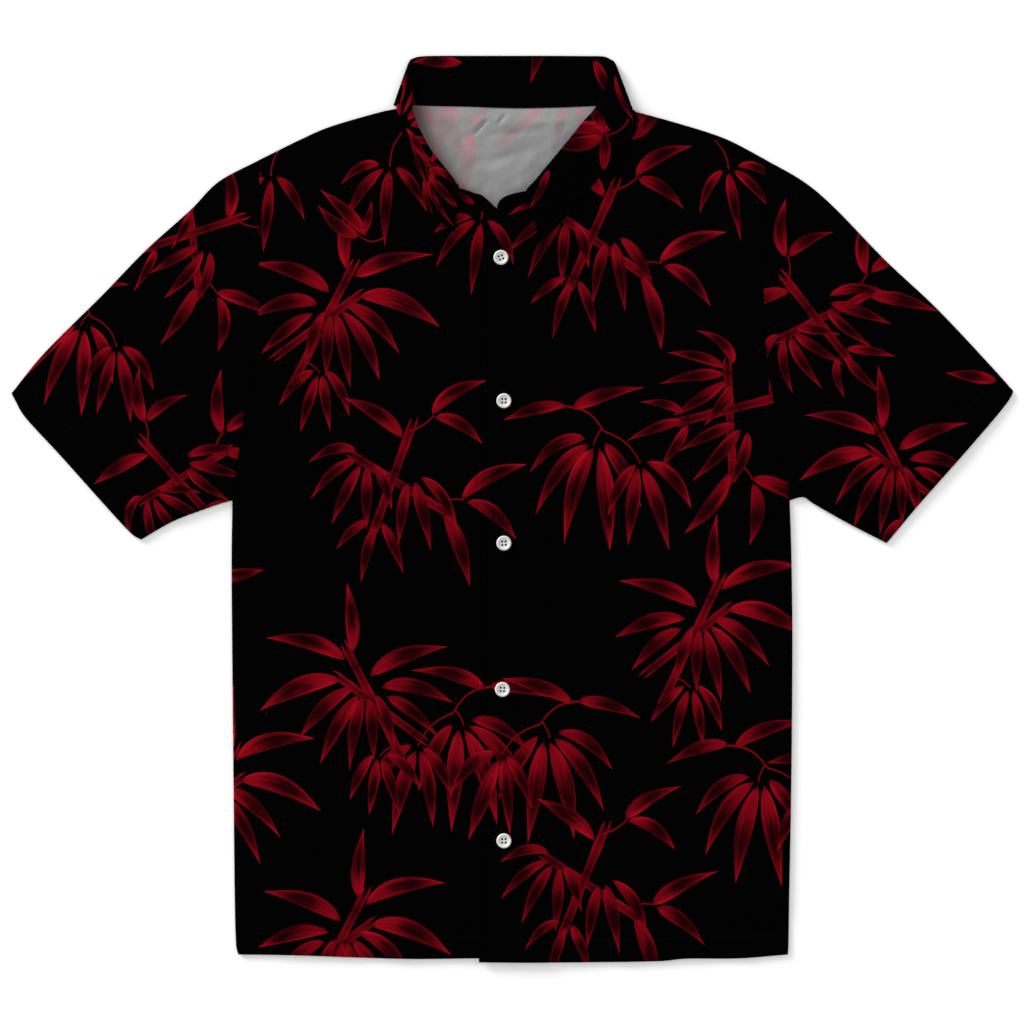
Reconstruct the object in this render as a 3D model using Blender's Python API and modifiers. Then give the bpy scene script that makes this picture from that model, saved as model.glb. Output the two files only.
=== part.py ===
"""A short-sleeved hawaiian shirt with a turned-down collar and five buttons, laid flat, front up.

The frame is in metres: +Y runs from the hem to the collar, +X to the wearer's left, +Z up, and
z = 0 is the surface that the shirt lies on. "Right" and "left" are the wearer's, so the right side
is at -X. Tables hold millimetres, because a pattern cutter works in them.

Layers at the body, from below: back, right front, left front (on top, at the closing only).
Layers at the collar's back, from below: the turned-down strip, then the neckband on it.
"""
from collections import namedtuple
import math

import bpy
from mathutils import Vector

MM = 0.001

# Driving sizes, in millimetres
CLOTH = 1.2              # wall of every cloth piece
GAP = 0.3                # clearance at seams and between layers
LAYER = CLOTH + GAP
SEAM = 0.35              # clearance in plan between the raw edges of a sleeve and the body
NECKLINE_SEAM = 0.6      # the same along the necklines, whose curves have fewer points than the neckband
FOLD_SEAM = 2.3          # between the turned-down part's inner edge and the neckband, which slopes away
AIR = 1.6                # how far the upper layer stands off the lower one away from its folds
ROLL = 42.0              # over this distance from a side, shoulder or sleeve fold the air fades in
CREASE_END = 0.25        # share of a crease's height that is left at its ends

NECK_X = 1.0             # middle of the neck
STRIP_HALF = 112.0       # half the width of the folded collar strip under the back's neck seam
STRIP_LOW = 330.0        # a little below that strip's lower edge
STRIP_RAMP = 45.0        # over this distance the back panel comes down from the strip

FRONT_EDGE_RIGHT = 13.7  # x of the right front's edge, which runs under the left front
FRONT_EDGE_LEFT = -29.1  # x of the left front's edge, which lies on top
CLOSING_FLAT = 6.0       # the left front stays level this far beyond the right front's edge
CLOSING_RAMP = 26.0      # and over this distance comes down
ARMHOLE_TURN = 226.0     # height at which the front's free edge has reached the neckline
LEAF_LIFT = 0.15         # extra clearance under a collar leaf's free edge

SIDE_ROWS = 16           # rows of a body panel from hem to underarm
LOW_ARMHOLE_ROWS = 7     # from the underarm to the turn of the armhole
UPPER_ROWS = 8           # from there to the shoulder tip, on the back and the sleeves
HEM_FADE_ROWS = 4        # rows over which the hem's curve fades out
FRONT_COLUMNS = (0.0, 0.05, 0.12, 0.2, 0.28, 0.37, 0.46, 0.55, 0.64, 0.73, 0.82, 0.9, 0.96, 1.0)
BACK_COLUMNS = (6, 9, 6)  # under the right shoulder, the neck and the left shoulder
SLEEVE_STATIONS = 10     # steps of a sleeve from armhole to cuff
COLLAR_STEP = 18.0       # longest step between two stations round the neck
PLAN_STEP = 30.0         # longest step of the lines that the air is measured from

BUTTON_RADIUS = 6.5
BUTTON_HOLE = 1.5        # diameter of one thread hole
BUTTON_SIDES = 18
BUTTON_HOLE_PITCH = 3.1  # distance between two neighbouring thread holes
ProfilePoint = namedtuple("ProfilePoint", "name radius_share height")
BUTTON_PROFILE = [
    ProfilePoint("middle of the dish", 0.0, 1.9),
    ProfilePoint("edge of the dish", 0.62, 1.9),
    ProfilePoint("crest of the rim", 0.8, 2.6),
    ProfilePoint("outside of the rim", 0.93, 2.4),
    ProfilePoint("widest", 1.0, 1.5),
    ProfilePoint("foot", 0.85, 0.0),
    ProfilePoint("middle of the foot", 0.0, 0.0),
]

# The outline seen from above. Each row gives one place on both sides of the shirt.
Place = namedtuple("Place", "name right_x right_y left_x left_y")
SHOULDER = [
    Place("neck point", -100.9, 350.0, 102.1, 348.4),
    Place("under the collar's edge", -115.8, 346.9, 116.1, 345.2),
    Place("inner shoulder", -159.5, 334.3, 164.2, 331.6),
    Place("outer shoulder", -185.8, 322.9, 190.5, 322.0),
    Place("shoulder tip", -221.1, 305.4, 220.2, 306.3),
]
SLEEVE_TOP = [
    Place("shoulder tip", -221.1, 305.4, 220.2, 306.3),
    Place("sleeve cap", -257.1, 286.1, 255.2, 286.1),
    Place("cap below", -281.4, 261.6, 281.5, 263.8),
    Place("upper arm", -319.9, 227.0, 325.9, 217.9),
    Place("mid arm", -358.4, 187.3, 370.7, 175.9),
    Place("near the cuff", -409.8, 135.9, 416.9, 126.9),
    Place("cuff, outer corner", -438.0, 101.2, 438.1, 103.3),
]
CUFF = [
    Place("outer corner", -438.0, 101.2, 438.1, 103.3),
    Place("turn of the hem", -435.0, 95.5, 436.0, 98.0),
    Place("outer third", -426.4, 80.7, 427.2, 85.8),
    Place("middle", -396.9, 48.6, 396.4, 49.9),
    Place("inner third", -355.5, 2.5, 355.3, 3.5),
    Place("near the inner corner", -332.8, -21.9, 332.5, -23.8),
    Place("inner corner", -324.5, -26.6, 327.4, -29.8),
]
SLEEVE_UNDER = [
    Place("underarm", -244.8, 7.6, 242.6, 7.6),
    Place("first fold", -256.0, 4.4, 254.5, 10.4),
    Place("second fold", -270.0, -0.5, 262.9, 5.0),
    Place("middle", -296.9, -10.9, 293.7, -12.5),
    Place("inner corner", -324.5, -26.6, 327.4, -29.8),
]

# The body's sides and armholes, which climb all the way: a height, and where each side is there.
Height = namedtuple("Height", "name y right_x left_x")
SIDE = [
    Height("hem", -389.6, -239.6, 241.0),
    Height("hem stitching", -381.0, -241.6, 241.5),
    Height("low", -337.8, -242.8, 242.2),
    Height("hip", -253.8, -243.7, 243.8),
    Height("waist", -124.3, -245.0, 245.0),
    Height("ribs", -44.6, -245.5, 244.2),
    Height("underarm", 7.6, -244.8, 242.6),
]
ARMHOLE = [
    Height("underarm", 7.6, -244.8, 242.6),
    Height("low curve", 35.0, -241.0, 239.6),
    Height("curve", 80.0, -234.4, 230.9),
    Height("upper curve", 121.6, -227.2, 223.7),
    Height("straight", 165.4, -222.2, 220.2),
    Height("deepest", 226.6, -221.0, 220.2),
    Height("near the tip", 270.4, -221.0, 221.6),
    Height("shoulder tip", 305.9, -221.1, 220.2),
]

# The hem of each panel
HemPoint = namedtuple("HemPoint", "x y")
HEM_RIGHT = [HemPoint(-239.6, -389.6), HemPoint(-191.0, -390.3), HemPoint(-93.9, -393.4),
             HemPoint(-30.1, -392.9), HemPoint(13.7, -392.6)]
HEM_LEFT = [HemPoint(-29.1, -396.3), HemPoint(29.1, -396.6), HemPoint(126.3, -395.5),
            HemPoint(152.0, -393.2), HemPoint(197.5, -393.0), HemPoint(241.0, -389.6)]
HEM_BACK = [HemPoint(-239.6, -389.6), HemPoint(-93.9, -391.6), HemPoint(29.1, -392.6),
            HemPoint(152.0, -391.4), HemPoint(241.0, -389.6)]

# The upper corner of each front, from its free edge to the end of the neckband
CornerPoint = namedtuple("CornerPoint", "x y")
CORNER_RIGHT = [CornerPoint(13.7, 239.5), CornerPoint(10.5, 246.0), CornerPoint(2.0, 249.6)]
CORNER_LEFT = [CornerPoint(-29.1, 250.5), CornerPoint(-26.0, 256.0), CornerPoint(-18.0, 259.6)]

# The collar, from the right end of the neckband round the neck to its left end. fold is the upper
# edge that shows, seam is the neck seam, edge is the free edge of the turned-down part, and rise is
# how far the fold stands above the front at the seam. The neckband's ends carry no turned-down part.
Turn = namedtuple("Turn", "name fold_x fold_y seam_x seam_y edge_x edge_y rise")
BAND_RIGHT = [
    Turn("right end", -6.4, 259.4, -5.5, 251.6, None, None, 0.0),
    Turn("rounded end", -14.3, 263.4, -13.4, 253.8, None, None, 0.0),
    Turn("end of the curve", -20.4, 269.1, -21.3, 257.7, None, None, 0.6),
    Turn("bend", -26.9, 274.3, -29.1, 262.1, None, None, 1.5),
    Turn("by the leaf", -32.6, 275.6, -36.1, 265.6, None, None, 2.4),
    Turn("beside the leaf", -39.2, 278.0, -45.8, 270.4, None, None, 3.2),
]
LEAF_RIGHT = [
    Turn("leaf's front edge", -46.5, 281.8, -54.9, 276.5, -50.1, 242.4, 4.0),
    Turn("point's back", -53.6, 291.8, -61.9, 285.7, -63.3, 252.0, 4.8),
    Turn("leaf", -62.4, 302.5, -71.1, 296.6, -74.6, 265.1, 5.4),
    Turn("leaf", -70.8, 313.2, -79.4, 308.4, -80.8, 280.9, 5.4),
    Turn("leaf", -77.3, 324.6, -86.0, 320.2, -84.7, 302.8, 4.9),
    Turn("leaf", -82.9, 336.0, -91.7, 332.9, -89.9, 324.6, 4.1),
    Turn("top of the V", -87.3, 350.9, -96.5, 345.6, -96.1, 339.5, 3.0),
    Turn("neck side", -86.6, 369.0, -98.2, 349.4, -100.4, 346.9, 2.0),
]
SIDE_RIGHT = Turn("right side", -90.4, 392.0, -98.6, 352.6, -104.2, 353.1, 1.5)
COLLAR_BACK = [
    Turn("right corner", -80.8, 395.8, -89.5, 352.8, -95.6, 346.5, 0.0),
    Turn("back", -63.3, 396.4, -70.3, 352.4, -72.0, 344.8, 0.0),
    Turn("back", -32.6, 396.4, -37.0, 351.5, -37.0, 343.9, 0.0),
    Turn("centre back", -1.1, 396.4, -1.1, 350.4, -1.1, 343.4, 0.0),
    Turn("back", 33.0, 396.4, 34.7, 350.6, 34.7, 343.9, 0.0),
    Turn("back", 63.6, 396.2, 61.9, 351.8, 68.0, 344.8, 0.0),
    Turn("left corner", 80.2, 395.8, 80.2, 352.4, 89.9, 345.6, 0.0),
]
SIDE_LEFT = Turn("left side", 89.9, 391.1, 98.6, 351.3, 105.4, 350.3, 1.5)
LEAF_LEFT = [
    Turn("neck side", 82.0, 371.9, 95.1, 348.2, 108.2, 345.6, 2.0),
    Turn("top of the V", 75.9, 356.1, 88.1, 344.8, 109.6, 338.6, 3.0),
    Turn("leaf", 68.9, 346.1, 79.4, 339.1, 108.2, 329.0, 4.0),
    Turn("leaf", 61.0, 337.2, 70.6, 329.9, 99.5, 317.6, 4.8),
    Turn("leaf", 51.8, 325.5, 61.0, 318.1, 87.2, 302.8, 5.4),
    Turn("leaf", 41.7, 313.2, 50.5, 305.8, 73.2, 286.1, 5.8),
    Turn("leaf", 31.2, 300.6, 40.0, 292.7, 55.7, 265.1, 5.6),
    Turn("point's back", 20.2, 287.3, 28.6, 279.1, 39.1, 246.3, 5.0),
    Turn("leaf's front edge", 12.0, 279.1, 18.6, 270.8, 24.2, 231.0, 4.2),
]
BAND_LEFT = [
    Turn("beside the leaf", 2.4, 275.6, 7.6, 265.4, None, None, 3.2),
    Turn("bend", -5.5, 273.0, -2.0, 262.7, None, None, 2.6),
    Turn("rounded end", -10.3, 269.9, -8.6, 261.6, None, None, 2.0),
    Turn("left end", -13.8, 265.2, -12.5, 260.9, None, None, 1.4),
]
FOLD_RADIUS = 0.5 * (2 * CLOTH + GAP)   # outer radius of the collar's fold round one gap
SIDE_RADIUS = 0.5 * (4 * CLOTH + 3 * GAP)  # outer radius where the flattened collar turns back
SIDE_ANGLES = (0, 45, 90, 135, 180)     # degrees from lying on the front to lying under the back
LEAF_CROWN = 0.7                        # how far a collar leaf arches between its fold and its edge
LEAF_SHARES = (0.22, 0.5, 0.78, 1.0)    # where the leaf has points between its fold and its edge

# Soft creases in the upper layer. A ridge is positive, a trough negative.
Crease = namedtuple("Crease", "name x0 y0 x1 y1 width height")
CREASES = [
    Crease("right armpit to chest", -214, 22, -112, 92, 11, 1.5),
    Crease("below the right armpit", -224, -12, -138, 22, 10, 1.1),
    Crease("right armhole, inside", -205, 120, -188, 250, 11, 0.9),
    Crease("right chest", -150, 265, -120, 130, 15, -0.9),
    Crease("right ribs", -205, -70, -95, -40, 14, -0.8),
    Crease("right waist", -215, -190, -120, -150, 13, 1.0),
    Crease("right hip", -190, -250, -165, -375, 13, 1.2),
    Crease("right hem", -92, -250, -100, -385, 12, 0.9),
    Crease("left armpit to chest", 212, 20, 120, 82, 11, 1.4),
    Crease("below the left armpit", 220, -16, 150, 6, 10, 1.0),
    Crease("left armhole, inside", 204, 105, 186, 235, 11, 1.0),
    Crease("left chest", 145, 270, 118, 150, 15, -0.9),
    Crease("left ribs", 208, -96, 110, -60, 14, -0.8),
    Crease("left waist", 214, -170, 135, -215, 13, 1.1),
    Crease("left hip", 176, -262, 188, -375, 13, 1.0),
    Crease("left hem", 88, -265, 104, -388, 12, 1.1),
    Crease("right sleeve, from the armpit", -252, 46, -330, 66, 11, 1.5),
    Crease("right sleeve, along the arm", -248, 200, -352, 92, 14, 1.0),
    Crease("right sleeve, cap", -240, 262, -285, 205, 13, -0.8),
    Crease("left sleeve, from the armpit", 250, 40, 334, 52, 11, 1.4),
    Crease("left sleeve, along the arm", 246, 190, 358, 100, 14, 1.1),
    Crease("left sleeve, cap", 242, 268, 292, 210, 13, -0.8),
]

Button = namedtuple("Button", "name x y turn")
BUTTONS = [
    Button("button_1", -9.9, 219.6, 20),
    Button("button_2", -7.3, 94.5, 0),
    Button("button_3", -7.3, -29.8, 4),
    Button("button_4", -8.6, -157.5, -3),
    Button("button_5", -7.3, -289.6, 2),
]


# ---------------------------------------------------------------- lines in plan

def smooth_step(share):
    share = min(max(share, 0.0), 1.0)
    return share * share * (3.0 - 2.0 * share)


def smooth_line(points, step=4.0):
    """A smooth line through points of any dimension, as points about step apart."""
    points = [Vector(point) for point in points]
    knots = [0.0]
    for a, b in zip(points, points[1:]):
        knots.append(knots[-1] + max((b - a).length, 1e-6) ** 0.5)
    last = len(points) - 1
    slopes = []
    for i in range(last + 1):
        before, after = max(i - 1, 0), min(i + 1, last)
        slopes.append((points[after] - points[before]) / (knots[after] - knots[before]))
    line = [points[0]]
    for i in range(last):
        span = knots[i + 1] - knots[i]
        pieces = max(1, math.ceil((points[i + 1] - points[i]).length / step))
        for piece in range(1, pieces + 1):
            t = piece / pieces
            line.append((2 * t**3 - 3 * t**2 + 1) * points[i] + (t**3 - 2 * t**2 + t) * span * slopes[i]
                        + (3 * t**2 - 2 * t**3) * points[i + 1] + (t**3 - t**2) * span * slopes[i + 1])
    return line


def at_share(line, share):
    """The point at a share of a line's length."""
    lengths = [(b - a).length for a, b in zip(line, line[1:])]
    left = share * sum(lengths)
    for a, b, length in zip(line, line[1:], lengths):
        if left <= length and length > 0:
            return a.lerp(b, left / length)
        left -= length
    return line[-1].copy()


def side_points(rows, side):
    """One side's points of an outline table."""
    if side == "right":
        return [(row.right_x, row.right_y) for row in rows]
    return [(row.left_x, row.left_y) for row in rows]


def height_points(rows, side):
    """One side's points of a table of heights."""
    return [(row.right_x if side == "right" else row.left_x, row.y) for row in rows]


def x_at(line, y):
    """Where a line that climbs all the way is at a height."""
    for a, b in zip(line, line[1:]):
        if y <= b.y:
            return a.x + (b.x - a.x) * (y - a.y) / max(b.y - a.y, 1e-6)
    return line[-1].x


def share_at(line, y):
    """The share of the length at which a line that falls all the way is at a height."""
    walked = total = 0.0
    for a, b in zip(line, line[1:]):
        total += (b - a).length
        if b.y >= y:
            walked = total
        elif a.y > y:
            walked = total - (b - a).length * (y - b.y) / (a.y - b.y)
    return walked / total


def y_at(line, x):
    """How high a line that runs all the way along X is at x."""
    line = line if line[0].x < line[-1].x else line[::-1]
    for a, b in zip(line, line[1:]):
        if x <= b.x:
            return a.y + (b.y - a.y) * (x - a.x) / max(b.x - a.x, 1e-6)
    return line[-1].y


# ---------------------------------------------------------------- heights

def fold_lines():
    """The sides, shoulders and sleeve folds: all places where the two layers close on each other."""
    lines = []
    for side in ("right", "left"):
        lines.append(smooth_line(height_points(SIDE, side), PLAN_STEP))
        lines.append(smooth_line(side_points(SHOULDER, side), PLAN_STEP))
        lines.append(smooth_line(side_points(SLEEVE_TOP, side), PLAN_STEP))
        lines.append(smooth_line(side_points(SLEEVE_UNDER, side), PLAN_STEP))
    return [(a, b) for line in lines for a, b in zip(line, line[1:])]


FOLD_SEGMENTS = fold_lines()


def segment_distance(point, a, b):
    """Distance to a segment, and the share along it of the nearest point."""
    run = b - a
    share = min(max((point - a).dot(run) / run.length_squared, 0.0), 1.0)
    return (point - a - share * run).length, share


def fold_share(x, y):
    """0 on a fold, 1 where the layers are free of each other."""
    point = Vector((x, y))
    return min(min(segment_distance(point, a, b)[0] for a, b in FOLD_SEGMENTS) / ROLL, 1.0)


def crease_height(x, y):
    point = Vector((x, y))
    total = 0.0
    for crease in CREASES:
        distance, share = segment_distance(point, Vector((crease.x0, crease.y0)),
                                           Vector((crease.x1, crease.y1)))
        middle = smooth_step(1.0 - (2.0 * share - 1.0) ** 2)
        strength = CREASE_END + (1.0 - CREASE_END) * middle
        total += crease.height * strength * math.exp(-(distance / crease.width) ** 2)
    return total


def back_under(x, y):
    """Underside of the back: flat on the surface, and lifted by the collar strip under the neck."""
    beside = max(abs(x - NECK_X) - STRIP_HALF, 0.0)
    below = max(STRIP_LOW - y, 0.0)
    return LAYER * smooth_step(1.0 - math.hypot(beside, below) / STRIP_RAMP)


def air(x, y):
    """Extra height of the upper layer above the lower one."""
    share = fold_share(x, y)
    return AIR * (1.0 - (1.0 - share) ** 2) + share * crease_height(x, y)


def right_top(x, y):
    """Upper face of the right front, and of every part of the upper layer away from the closing."""
    return back_under(x, y) + LAYER + air(x, y) + CLOTH


def left_top(x, y):
    """Upper face of the left front, which steps up over the right front at the closing."""
    closing = smooth_step(1.0 - (x - FRONT_EDGE_RIGHT - CLOSING_FLAT) / CLOSING_RAMP)
    return right_top(x, y) + LAYER * closing


# ---------------------------------------------------------------- making meshes

def material(name, colour, roughness):
    made = bpy.data.materials.new(name)
    made.use_nodes = True
    shader = made.node_tree.nodes["Principled BSDF"]
    shader.inputs["Base Color"].default_value = (*colour, 1.0)
    shader.inputs["Roughness"].default_value = roughness
    shader.inputs["Metallic"].default_value = 0.0
    return made


def cloth(name, grid, finish, offset, ring=False):
    """A sheet from rows of points in millimetres, thickened to the cloth's wall.

    The wall lies behind the sheet at offset -1 and before it at 1, where rows run left to right and up
    as seen from before it. ring joins each row's ends.
    """
    width = len(grid[0])
    corners = [Vector(point) * MM for row in grid for point in row]
    faces = []
    for r in range(len(grid) - 1):
        for c in range(width if ring else width - 1):
            d = (c + 1) % width
            faces.append((r * width + c, r * width + d, (r + 1) * width + d, (r + 1) * width + c))
    mesh = bpy.data.meshes.new(name)
    mesh.from_pydata(corners, [], faces)
    mesh.update()
    piece = bpy.data.objects.new(name, mesh)
    mesh.materials.append(finish)
    SHIRT.objects.link(piece)
    wall = piece.modifiers.new("Wall", "SOLIDIFY")
    wall.thickness = CLOTH * MM
    wall.offset = offset
    mesh.shade_smooth()
    return piece


# ---------------------------------------------------------------- the collar's stations

Station = namedtuple("Station", "fold along out seam edge")


def front_station(turn, top):
    """fold: the fold's outermost point on the outer face's plane. along: towards the free edge.
    out: square to the collar's outer face. seam and edge: the outer face's points there."""
    seam_z = top(turn.seam_x, turn.seam_y)
    fold = Vector((turn.fold_x, turn.fold_y, seam_z + turn.rise))
    seam = Vector((turn.seam_x, turn.seam_y, seam_z))
    edge_z = top(turn.edge_x, turn.edge_y) + LAYER + LEAF_LIFT
    edge = Vector((turn.edge_x, turn.edge_y, edge_z))
    along = (edge - fold).normalized()
    out = (Vector((0, 0, 1)) - along.z * along).normalized()
    return Station(fold, along, out, seam, edge)


def back_station(turn):
    fold = Vector((turn.fold_x, turn.fold_y, 0.0))
    seam = Vector((turn.seam_x, turn.seam_y, LAYER))
    edge = Vector((turn.edge_x, turn.edge_y, 0.0))
    along = (edge - fold).normalized()
    return Station(fold, along, Vector((0, 0, -1)), seam, edge)


def side_stations(turn):
    """The flattened collar turns from lying on the front to lying under the back."""
    fold_plan = Vector((turn.fold_x, turn.fold_y, 0.0))
    edge_plan = Vector((turn.edge_x, turn.edge_y, 0.0))
    seam_plan = Vector((turn.seam_x, turn.seam_y, 0.0))
    along = (edge_plan - fold_plan).normalized()
    outward = Vector((-along.y, along.x, 0.0))
    if outward.x * turn.fold_x < 0:
        outward = -outward
    made = []
    for degrees in SIDE_ANGLES:
        angle = math.radians(degrees)
        out = outward * math.sin(angle) + Vector((0, 0, math.cos(angle)))
        middle = Vector((0, 0, SIDE_RADIUS))
        centre = middle - outward * SIDE_RADIUS
        made.append(Station(fold_plan + centre + SIDE_RADIUS * out, along, out,
                            seam_plan + centre + FOLD_RADIUS * out,
                            edge_plan + centre + SIDE_RADIUS * out))
    return made


def band_station(turn, top):
    """An end of the neckband, with no turned-down part: its fold is its own upper edge."""
    seam_z = top(turn.seam_x, turn.seam_y)
    fold = Vector((turn.fold_x, turn.fold_y, seam_z + turn.rise))
    return fold, Vector((turn.seam_x, turn.seam_y, seam_z))


def collar_stations():
    stations = [front_station(turn, right_top) for turn in LEAF_RIGHT]
    stations += side_stations(SIDE_RIGHT)
    stations += [back_station(turn) for turn in COLLAR_BACK]
    stations += side_stations(SIDE_LEFT)[::-1]
    stations += [front_station(turn, left_top) for turn in LEAF_LEFT]
    return stations


def between(stations):
    """The stations with more between them, about COLLAR_STEP apart, on smooth lines."""
    flat = [[value for part in station for value in part] for station in stations]
    smooth = smooth_line(flat, COLLAR_STEP)
    made = []
    for row in smooth:
        parts = [Vector(row[i:i + 3]) for i in range(0, 15, 3)]
        made.append(Station(parts[0], parts[1].normalized(), parts[2].normalized(), parts[3], parts[4]))
    return made


def fold_point(station, along, depth):
    """A point of the section round the fold: along from its outermost line, depth below the face."""
    return station.fold + along * station.along - depth * station.out


def make_collar_fall(stations, finish):
    """The turned-down part: round the fold, then arched to its free edge."""
    grid = []
    for station in stations:
        row = []
        for degrees in (180, 135, 90, 45, 0):
            angle = math.radians(degrees)
            row.append(fold_point(station, FOLD_RADIUS * (1 - math.sin(angle)),
                                  FOLD_RADIUS * (1 - math.cos(angle))))
        start = row[-1]
        lying_up = max(station.out.z, 0.0)
        for share in LEAF_SHARES:
            crown = LEAF_CROWN * math.sin(math.pi * share) * lying_up
            row.append(start.lerp(station.edge, share) + crown * station.out)
        # The smooth lines between the stations dip a little below the surface at the side turns.
        grid.append([Vector((point.x, point.y, max(point.z, 0.0))) for point in row])
    return cloth("collar_fall", grid, finish, 1)


def make_collar_stand(stations, finish):
    """The neckband: from the neck seam to just short of the fold, and on to its two ends."""
    lines = [band_station(turn, right_top) for turn in BAND_RIGHT]
    for station in stations:
        lines.append((fold_point(station, FOLD_RADIUS + FOLD_SEAM, LAYER + 0.5 * GAP), station.seam))
    lines += [band_station(turn, left_top) for turn in BAND_LEFT]
    grid = [[fold.lerp(seam, share) for share in (0.0, 0.5, 1.0)] for fold, seam in lines]
    return cloth("collar_stand", grid, finish, 1)


# ---------------------------------------------------------------- body panels

def neckline(turns, start):
    """A front's neckline: its corner, then just outside the neckband's seam, up to the neck point."""
    points = [Vector(point) for point in start]
    for turn in turns:
        seam = Vector((turn.seam_x, turn.seam_y))
        fold = Vector((turn.fold_x, turn.fold_y))
        points.append(seam + (seam - fold).normalized() * NECKLINE_SEAM)
    return points


def row_heights(upper_rows):
    """Heights of a panel's rows: hem to underarm, to the turn of the armhole, to the shoulder tip."""
    hem, underarm, tip = SIDE[0].y, SIDE[-1].y, ARMHOLE[-1].y
    heights = [hem]
    for low, high, count in ((hem, underarm, SIDE_ROWS), (underarm, ARMHOLE_TURN, LOW_ARMHOLE_ROWS),
                             (ARMHOLE_TURN, tip, upper_rows)):
        heights += [low + (high - low) * (i + 1) / count for i in range(count)]
    return heights


def outer_line(side):
    return smooth_line(height_points(SIDE, side)) + smooth_line(height_points(ARMHOLE, side))[1:]


def front_grid(side):
    """Rows from the free edge and neckline to the side and armhole, in plan."""
    outer = outer_line(side)
    if side == "right":
        free_x, corner = FRONT_EDGE_RIGHT, CORNER_RIGHT
        neck_turns = BAND_RIGHT + LEAF_RIGHT
        hem = [Vector(point) for point in HEM_RIGHT]
    else:
        free_x, corner = FRONT_EDGE_LEFT, CORNER_LEFT
        neck_turns = BAND_LEFT[::-1] + LEAF_LEFT[::-1]
        hem = [Vector(point) for point in HEM_LEFT]
    neck_line = neckline(neck_turns, corner) + [Vector(side_points(SHOULDER, side)[0])]
    neck_rows = len(neck_line) - 1
    turn_row = SIDE_ROWS + LOW_ARMHOLE_ROWS
    heights = row_heights(neck_rows)
    shoulder = smooth_line(side_points(SHOULDER, side))
    hem_line = smooth_line(hem)
    free_low = y_at(hem_line, free_x)
    grid = []
    for r, height in enumerate(heights):
        outer_point = Vector((x_at(outer, height), height))
        if r <= turn_row:
            rise = (height - heights[0]) / (heights[turn_row] - heights[0])
            free_point = Vector((free_x, free_low + rise * (neck_line[0].y - free_low)))
        else:
            free_point = neck_line[r - turn_row]
        up = max(0.0, (r - turn_row) / neck_rows)
        down = max(0.0, 1.0 - r / HEM_FADE_ROWS)
        row = []
        for share in FRONT_COLUMNS:
            point = free_point.lerp(outer_point, share)
            on_top = at_share(shoulder, share)
            straight_top = neck_line[-1].lerp(Vector((x_at(outer, heights[-1]), heights[-1])), share)
            point += up * (on_top - straight_top)
            straight_hem = free_low + share * (heights[0] - free_low)
            point.y += down * (y_at(hem_line, point.x) - straight_hem)
            row.append(point)
        grid.append(row)
    return grid


def make_front(name, side, top, finish):
    grid = []
    for row in front_grid(side):
        lifted = [(point.x, point.y, top(point.x, point.y)) for point in row]
        grid.append(lifted if side == "left" else lifted[::-1])
    return cloth(name, grid, finish, -1)


def back_top_line():
    """The back's upper edge: shoulder, neck seam, shoulder."""
    right = smooth_line(side_points(SHOULDER, "right"))[::-1]
    left = smooth_line(side_points(SHOULDER, "left"))
    neck = [right[-1]]
    neck += [Vector((turn.seam_x, turn.seam_y - NECKLINE_SEAM)) for turn in COLLAR_BACK]
    neck += [left[0]]
    return right[:-1] + smooth_line(neck) + left[1:]


def make_back(finish):
    heights = row_heights(UPPER_ROWS)
    right, left = outer_line("right"), outer_line("left")
    top_line = back_top_line()
    hem_line = smooth_line(HEM_BACK)
    tip_right, tip_left = SHOULDER[-1].right_x, SHOULDER[-1].left_x
    stops = [tip_right, SHOULDER[0].right_x, SHOULDER[0].left_x, tip_left]
    columns = []
    for low, high, count in zip(stops, stops[1:], BACK_COLUMNS):
        columns += [low + (high - low) * i / count for i in range(count)]
    columns = [(x - tip_right) / (tip_left - tip_right) for x in columns] + [1.0]
    grid = []
    rows = [r for r in range(len(heights)) if r > SIDE_ROWS or r % 2 == 0]
    for r in rows:
        height = heights[r]
        low, high = Vector((x_at(right, height), height)), Vector((x_at(left, height), height))
        up = max(0.0, (r - SIDE_ROWS) / (LOW_ARMHOLE_ROWS + UPPER_ROWS)) ** 2
        down = max(0.0, 1.0 - r / HEM_FADE_ROWS)
        row = []
        for share in columns:
            point = low.lerp(high, share)
            top_x = tip_right + share * (tip_left - tip_right)
            point.y += up * (y_at(top_line, top_x) - heights[-1])
            point.y += down * (y_at(hem_line, point.x) - heights[0])
            row.append((point.x, point.y, back_under(point.x, point.y)))
        grid.append(row)
    return cloth("back", grid, finish, 1)


# ---------------------------------------------------------------- sleeves

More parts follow.
